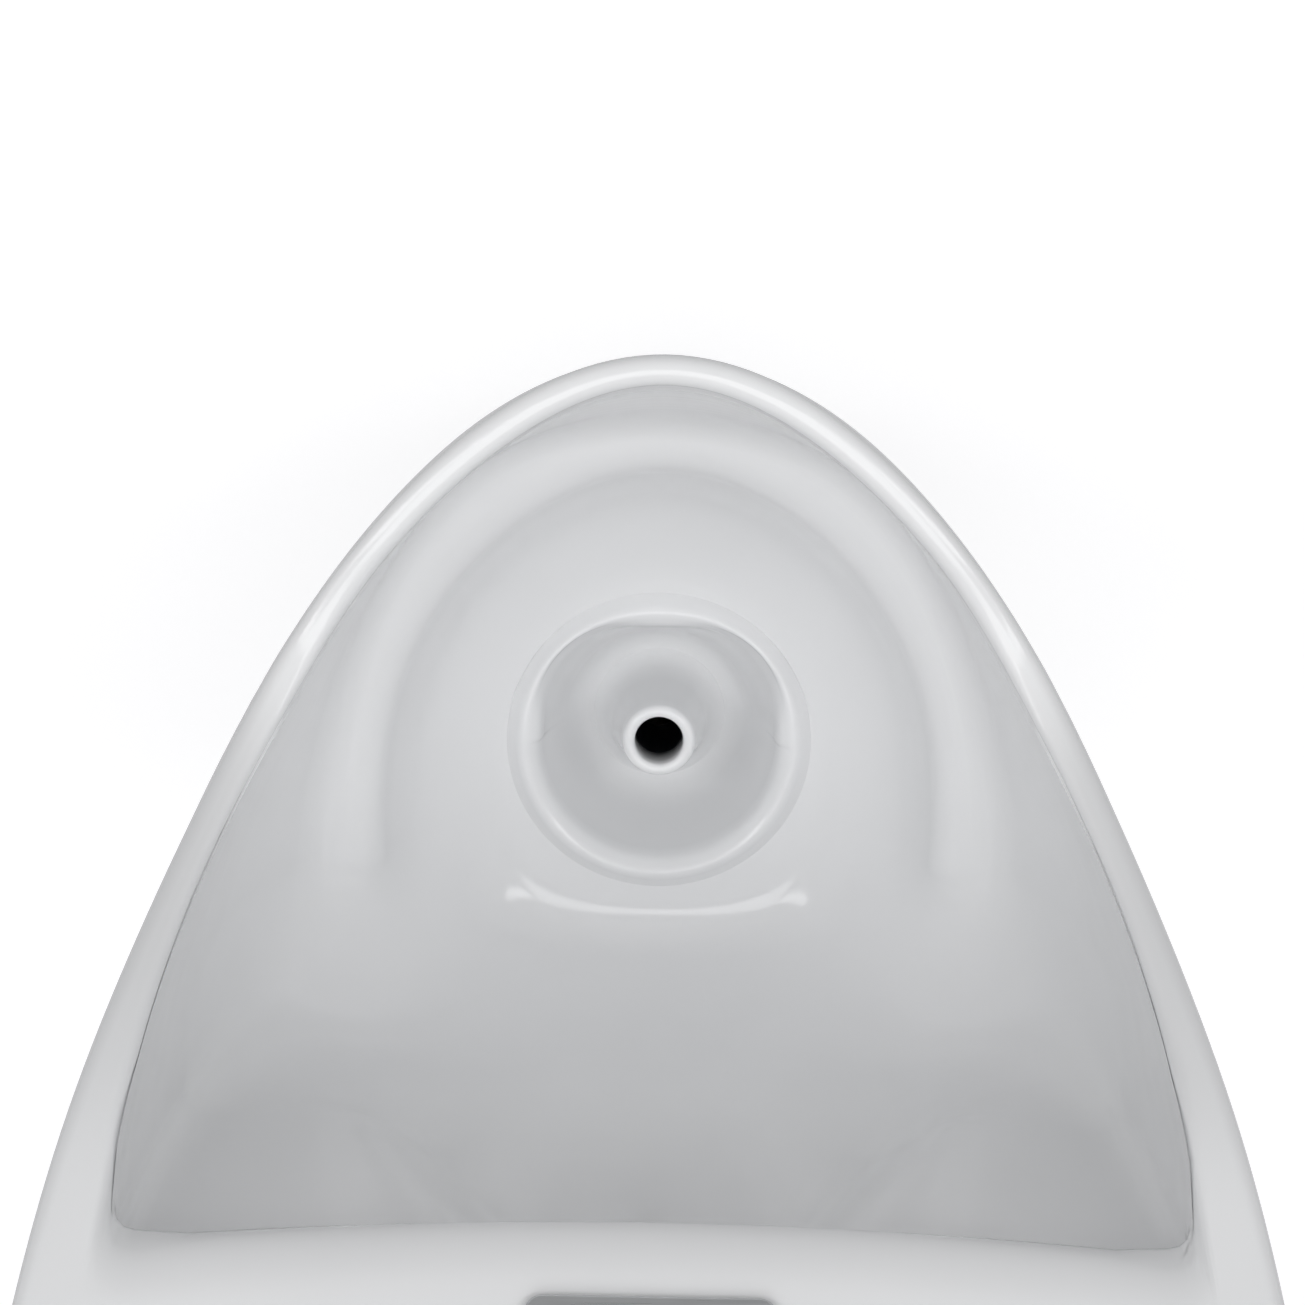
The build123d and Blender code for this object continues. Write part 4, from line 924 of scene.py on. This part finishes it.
def ranged(nodes, links, value, low, high, fromLow=0.3, fromHigh=0.7):
    span = nodes.new("ShaderNodeMapRange")
    span.inputs["From Min"].default_value = fromLow
    span.inputs["From Max"].default_value = fromHigh
    span.inputs["To Min"].default_value = low
    span.inputs["To Max"].default_value = high
    links.new(value, span.inputs["Value"])
    return span.outputs["Result"]


def tinted(nodes, links, value, dark, light):
    ramp = nodes.new("ShaderNodeValToRGB")
    ramp.color_ramp.elements[0].position, ramp.color_ramp.elements[1].position = 0.3, 0.7
    ramp.color_ramp.elements[0].color, ramp.color_ramp.elements[1].color = (*dark, 1), (*light, 1)
    links.new(value, ramp.inputs["Fac"])
    return ramp.outputs["Color"]


def mixedColour(nodes, links, share, first, second):
    mix = nodes.new("ShaderNodeMix")
    mix.data_type = "RGBA"
    links.new(share, mix.inputs["Factor"])
    links.new(first, mix.inputs[6])
    links.new(second, mix.inputs[7])
    return mix.outputs[2]


def mixedValue(nodes, links, share, first, second):
    mix = nodes.new("ShaderNodeMix")
    links.new(share, mix.inputs["Factor"])
    links.new(first, mix.inputs[2])
    links.new(second, mix.inputs[3])
    return mix.outputs[0]


def bumped(nodes, links, value, strength, distance, below=None):
    bump = nodes.new("ShaderNodeBump")
    bump.inputs["Strength"].default_value = strength
    bump.inputs["Distance"].default_value = distance
    links.new(value, bump.inputs["Height"])
    if below:
        links.new(below, bump.inputs["Normal"])
    return bump.outputs["Normal"]


def glazedChina():
    # clear glaze over a white body; the cut and ground faces are rougher and warmer, and the inside of the
    # standpipe's bore gets a painted shade
    g = glazeSettings
    made, nodes, links = emptyMaterial("glazedChina")
    shader = nodes["Principled BSDF"]
    shader.inputs["IOR"].default_value = g["ior"]
    cloud = objectNoise(nodes, links, g["cloudScale"], detail=2)
    speck = objectNoise(nodes, links, g["speckScale"], detail=4)
    glaze = tinted(nodes, links, cloud, *g["glaze"])
    biscuit = tinted(nodes, links, speck, *g["biscuit"])
    mark = nodes.new("ShaderNodeAttribute")
    mark.attribute_name = "raw"
    raw = mark.outputs["Fac"]
    outside = mixedColour(nodes, links, raw, glaze, biscuit)
    # painted shade: the standpipe's bore is coloured near-black where it lies in shade
    dark = plainColour(nodes, g["deep"])
    links.new(mixedColour(nodes, links, boreShadeShare(nodes, links), outside, dark), shader.inputs["Base Color"])
    smooth = ranged(nodes, links, cloud, *g["smooth"])
    rough = ranged(nodes, links, speck, *g["rough"])
    links.new(mixedValue(nodes, links, raw, smooth, rough), shader.inputs["Roughness"])
    wave = bumped(nodes, links, objectNoise(nodes, links, g["waveScale"], detail=1), *g["wave"])
    peel = bumped(nodes, links, objectNoise(nodes, links, g["peelScale"], detail=1), *g["peel"], wave)
    links.new(peel, shader.inputs["Normal"])
    return made


def boreShadeShare(nodes, links):
    # painted shade share: 1 far down inside the standpipe's bore, where it lies in shade, and 0 elsewhere,
    # from the distance to the drain's axis
    g = glazeSettings
    place = nodes.new("ShaderNodeTexCoord")
    across = nodes.new("ShaderNodeVectorMath")
    across.operation = "SUBTRACT"
    across.inputs[1].default_value = (0, cavitySettings["drainY"] * mm, 0)
    links.new(place.outputs["Object"], across.inputs[0])
    parts = nodes.new("ShaderNodeSeparateXYZ")
    links.new(across.outputs["Vector"], parts.inputs["Vector"])
    flat = nodes.new("ShaderNodeCombineXYZ")
    for axis in "XY":
        links.new(parts.outputs[axis], flat.inputs[axis])
    radius = nodes.new("ShaderNodeVectorMath")
    radius.operation = "LENGTH"
    links.new(flat.outputs["Vector"], radius.inputs[0])
    deep = nodes.new("ShaderNodeMath")
    deep.operation = "MULTIPLY"
    links.new(ranged(nodes, links, radius.outputs["Value"], 0, 1, *g["boreShadeRadius"]), deep.inputs[0])
    links.new(ranged(nodes, links, parts.outputs["Z"], 0, 1, *g["boreShadeFrom"]), deep.inputs[1])
    return deep.outputs[0]


def camelName(slot):
    first, *rest = slot.split("_")
    return first + "".join(word.capitalize() for word in rest)


def nodeFinish(slot):
    f = finishes[slot]
    made, nodes, links = emptyMaterial(camelName(slot))
    shader = nodes["Principled BSDF"]
    shader.inputs["Metallic"].default_value = f.get("metal", 0.0)
    shader.inputs["IOR"].default_value = f.get("ior", 1.5)
    shader.inputs["Coat Weight"].default_value = f.get("coat", 0.0)
    grain = objectNoise(nodes, links, f["scale"], f.get("stretch", (1, 1, 1)), f.get("detail", 3))
    cloud = objectNoise(nodes, links, f.get("cloud", 40), detail=2)
    fine = tinted(nodes, links, grain, *f["colours"])
    shades = [tuple(c * k for c in f["colours"][1]) for k in f.get("age", (0.82, 1.0))]
    aged = tinted(nodes, links, cloud, *shades)
    half = nodes.new("ShaderNodeValue")
    half.outputs[0].default_value = 0.5
    colour = mixedColour(nodes, links, half.outputs[0], fine, aged)
    if "bands" in f:
        mask, band = bandMask(nodes, links, f["bands"]), plainColour(nodes, f["bandColour"])
        colour = mixedColour(nodes, links, mask, colour, band)
    links.new(colour, shader.inputs["Base Color"])
    links.new(ranged(nodes, links, grain, *f["rough"]), shader.inputs["Roughness"])
    soft = bumped(nodes, links, cloud, 0.06, 0.0006)
    links.new(bumped(nodes, links, grain, f["bump"], 0.0001, soft), shader.inputs["Normal"])
    return made


def plainColour(nodes, colour):
    holder = nodes.new("ShaderNodeRGB")
    holder.outputs[0].default_value = (*colour, 1)
    return holder.outputs[0]


def bandMask(nodes, links, bands):
    # thin lines across the piece, such as tracks on a board
    place = nodes.new("ShaderNodeTexCoord")
    wave = nodes.new("ShaderNodeTexWave")
    wave.bands_direction = bands["way"]
    wave.inputs["Scale"].default_value = bands["scale"]
    wave.inputs["Distortion"].default_value = bands["bend"]
    wave.inputs["Detail"].default_value = 0
    links.new(place.outputs["Object"], wave.inputs["Vector"])
    return ranged(nodes, links, wave.outputs["Fac"], 0, 1, *bands["edge"])


def makeFloor():
    # plain pale floor, white to the camera outside the object's shadow
    f = floorSettings
    mesh = bpy.data.meshes.new("floor")
    h = f["half"]
    mesh.from_pydata([(-h, -h, 0), (h, -h, 0), (h, h, 0), (-h, h, 0)], [], [(0, 1, 2, 3)])
    made, nodes, links = emptyMaterial("paleFloor")
    shader = nodes["Principled BSDF"]
    shader.inputs["Roughness"].default_value = f["roughness"]
    cloud = objectNoise(nodes, links, f["cloudScale"], detail=2)
    links.new(tinted(nodes, links, cloud, *f["tones"]), shader.inputs["Base Color"])
    strength = nodes.new("ShaderNodeMath")
    strength.operation = "MULTIPLY"
    strength.inputs[1].default_value = f["lift"]
    links.new(backdropShare(nodes, links), strength.inputs[0])
    shader.inputs["Emission Color"].default_value = (1, 1, 1, 1)
    links.new(strength.outputs[0], shader.inputs["Emission Strength"])
    mesh.materials.append(made)
    placed("floor", mesh)


def markRaw(body):
    # one value per face: 1 where the tools cut, at the wall and under the foot
    h, mesh = hollowSettings, body.data
    cut = [i for i, material in enumerate(mesh.materials) if material == cutMark]
    mark = mesh.attributes.new("raw", "FLOAT", "FACE")
    for polygon in mesh.polygons:
        y, z = polygon.center.y / mm, polygon.center.z / mm
        ground = y > h["rawWall"] or z < h["rawFoot"]
        mark.data[polygon.index].value = 1.0 if ground or polygon.material_index in cut else 0.0
        polygon.material_index = 0
    mesh.materials.clear()
    mesh.materials.append(glazedChina())


bpy.context.scene.view_settings.view_transform = "Standard"
makeCamera()
makeLights()
makeFloor()
print("stage done")

cutMark = bpy.data.materials.new("cutMark")
body = solidFromLoops("chinaBody", bodyLoops())
print("body form", len(body.data.polygons), "faces")
for space in (pedestalSpace(), rearSpace()):
    carve(body, space)
cutSensorOpening(body)
cutHoles(body)
markRaw(body)
for polygon in body.data.polygons:
    polygon.use_smooth = True
body.data.set_sharp_from_angle(angle=math.radians(40))
bpy.data.materials.remove(cutMark)
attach(body, "fixture")
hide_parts("urinal_body")
print("body done", len(body.data.polygons), "faces")

finished = {slot: nodeFinish(slot) for slot in finishes}
for part in frame["record"]["subparts"]:
    if part["material_slot"] in finished:
        node = frame["nodes"][part["node"]]
        node.data.materials.clear()
        node.data.materials.append(finished[part["material_slot"]])
print("finishes", len(finished))
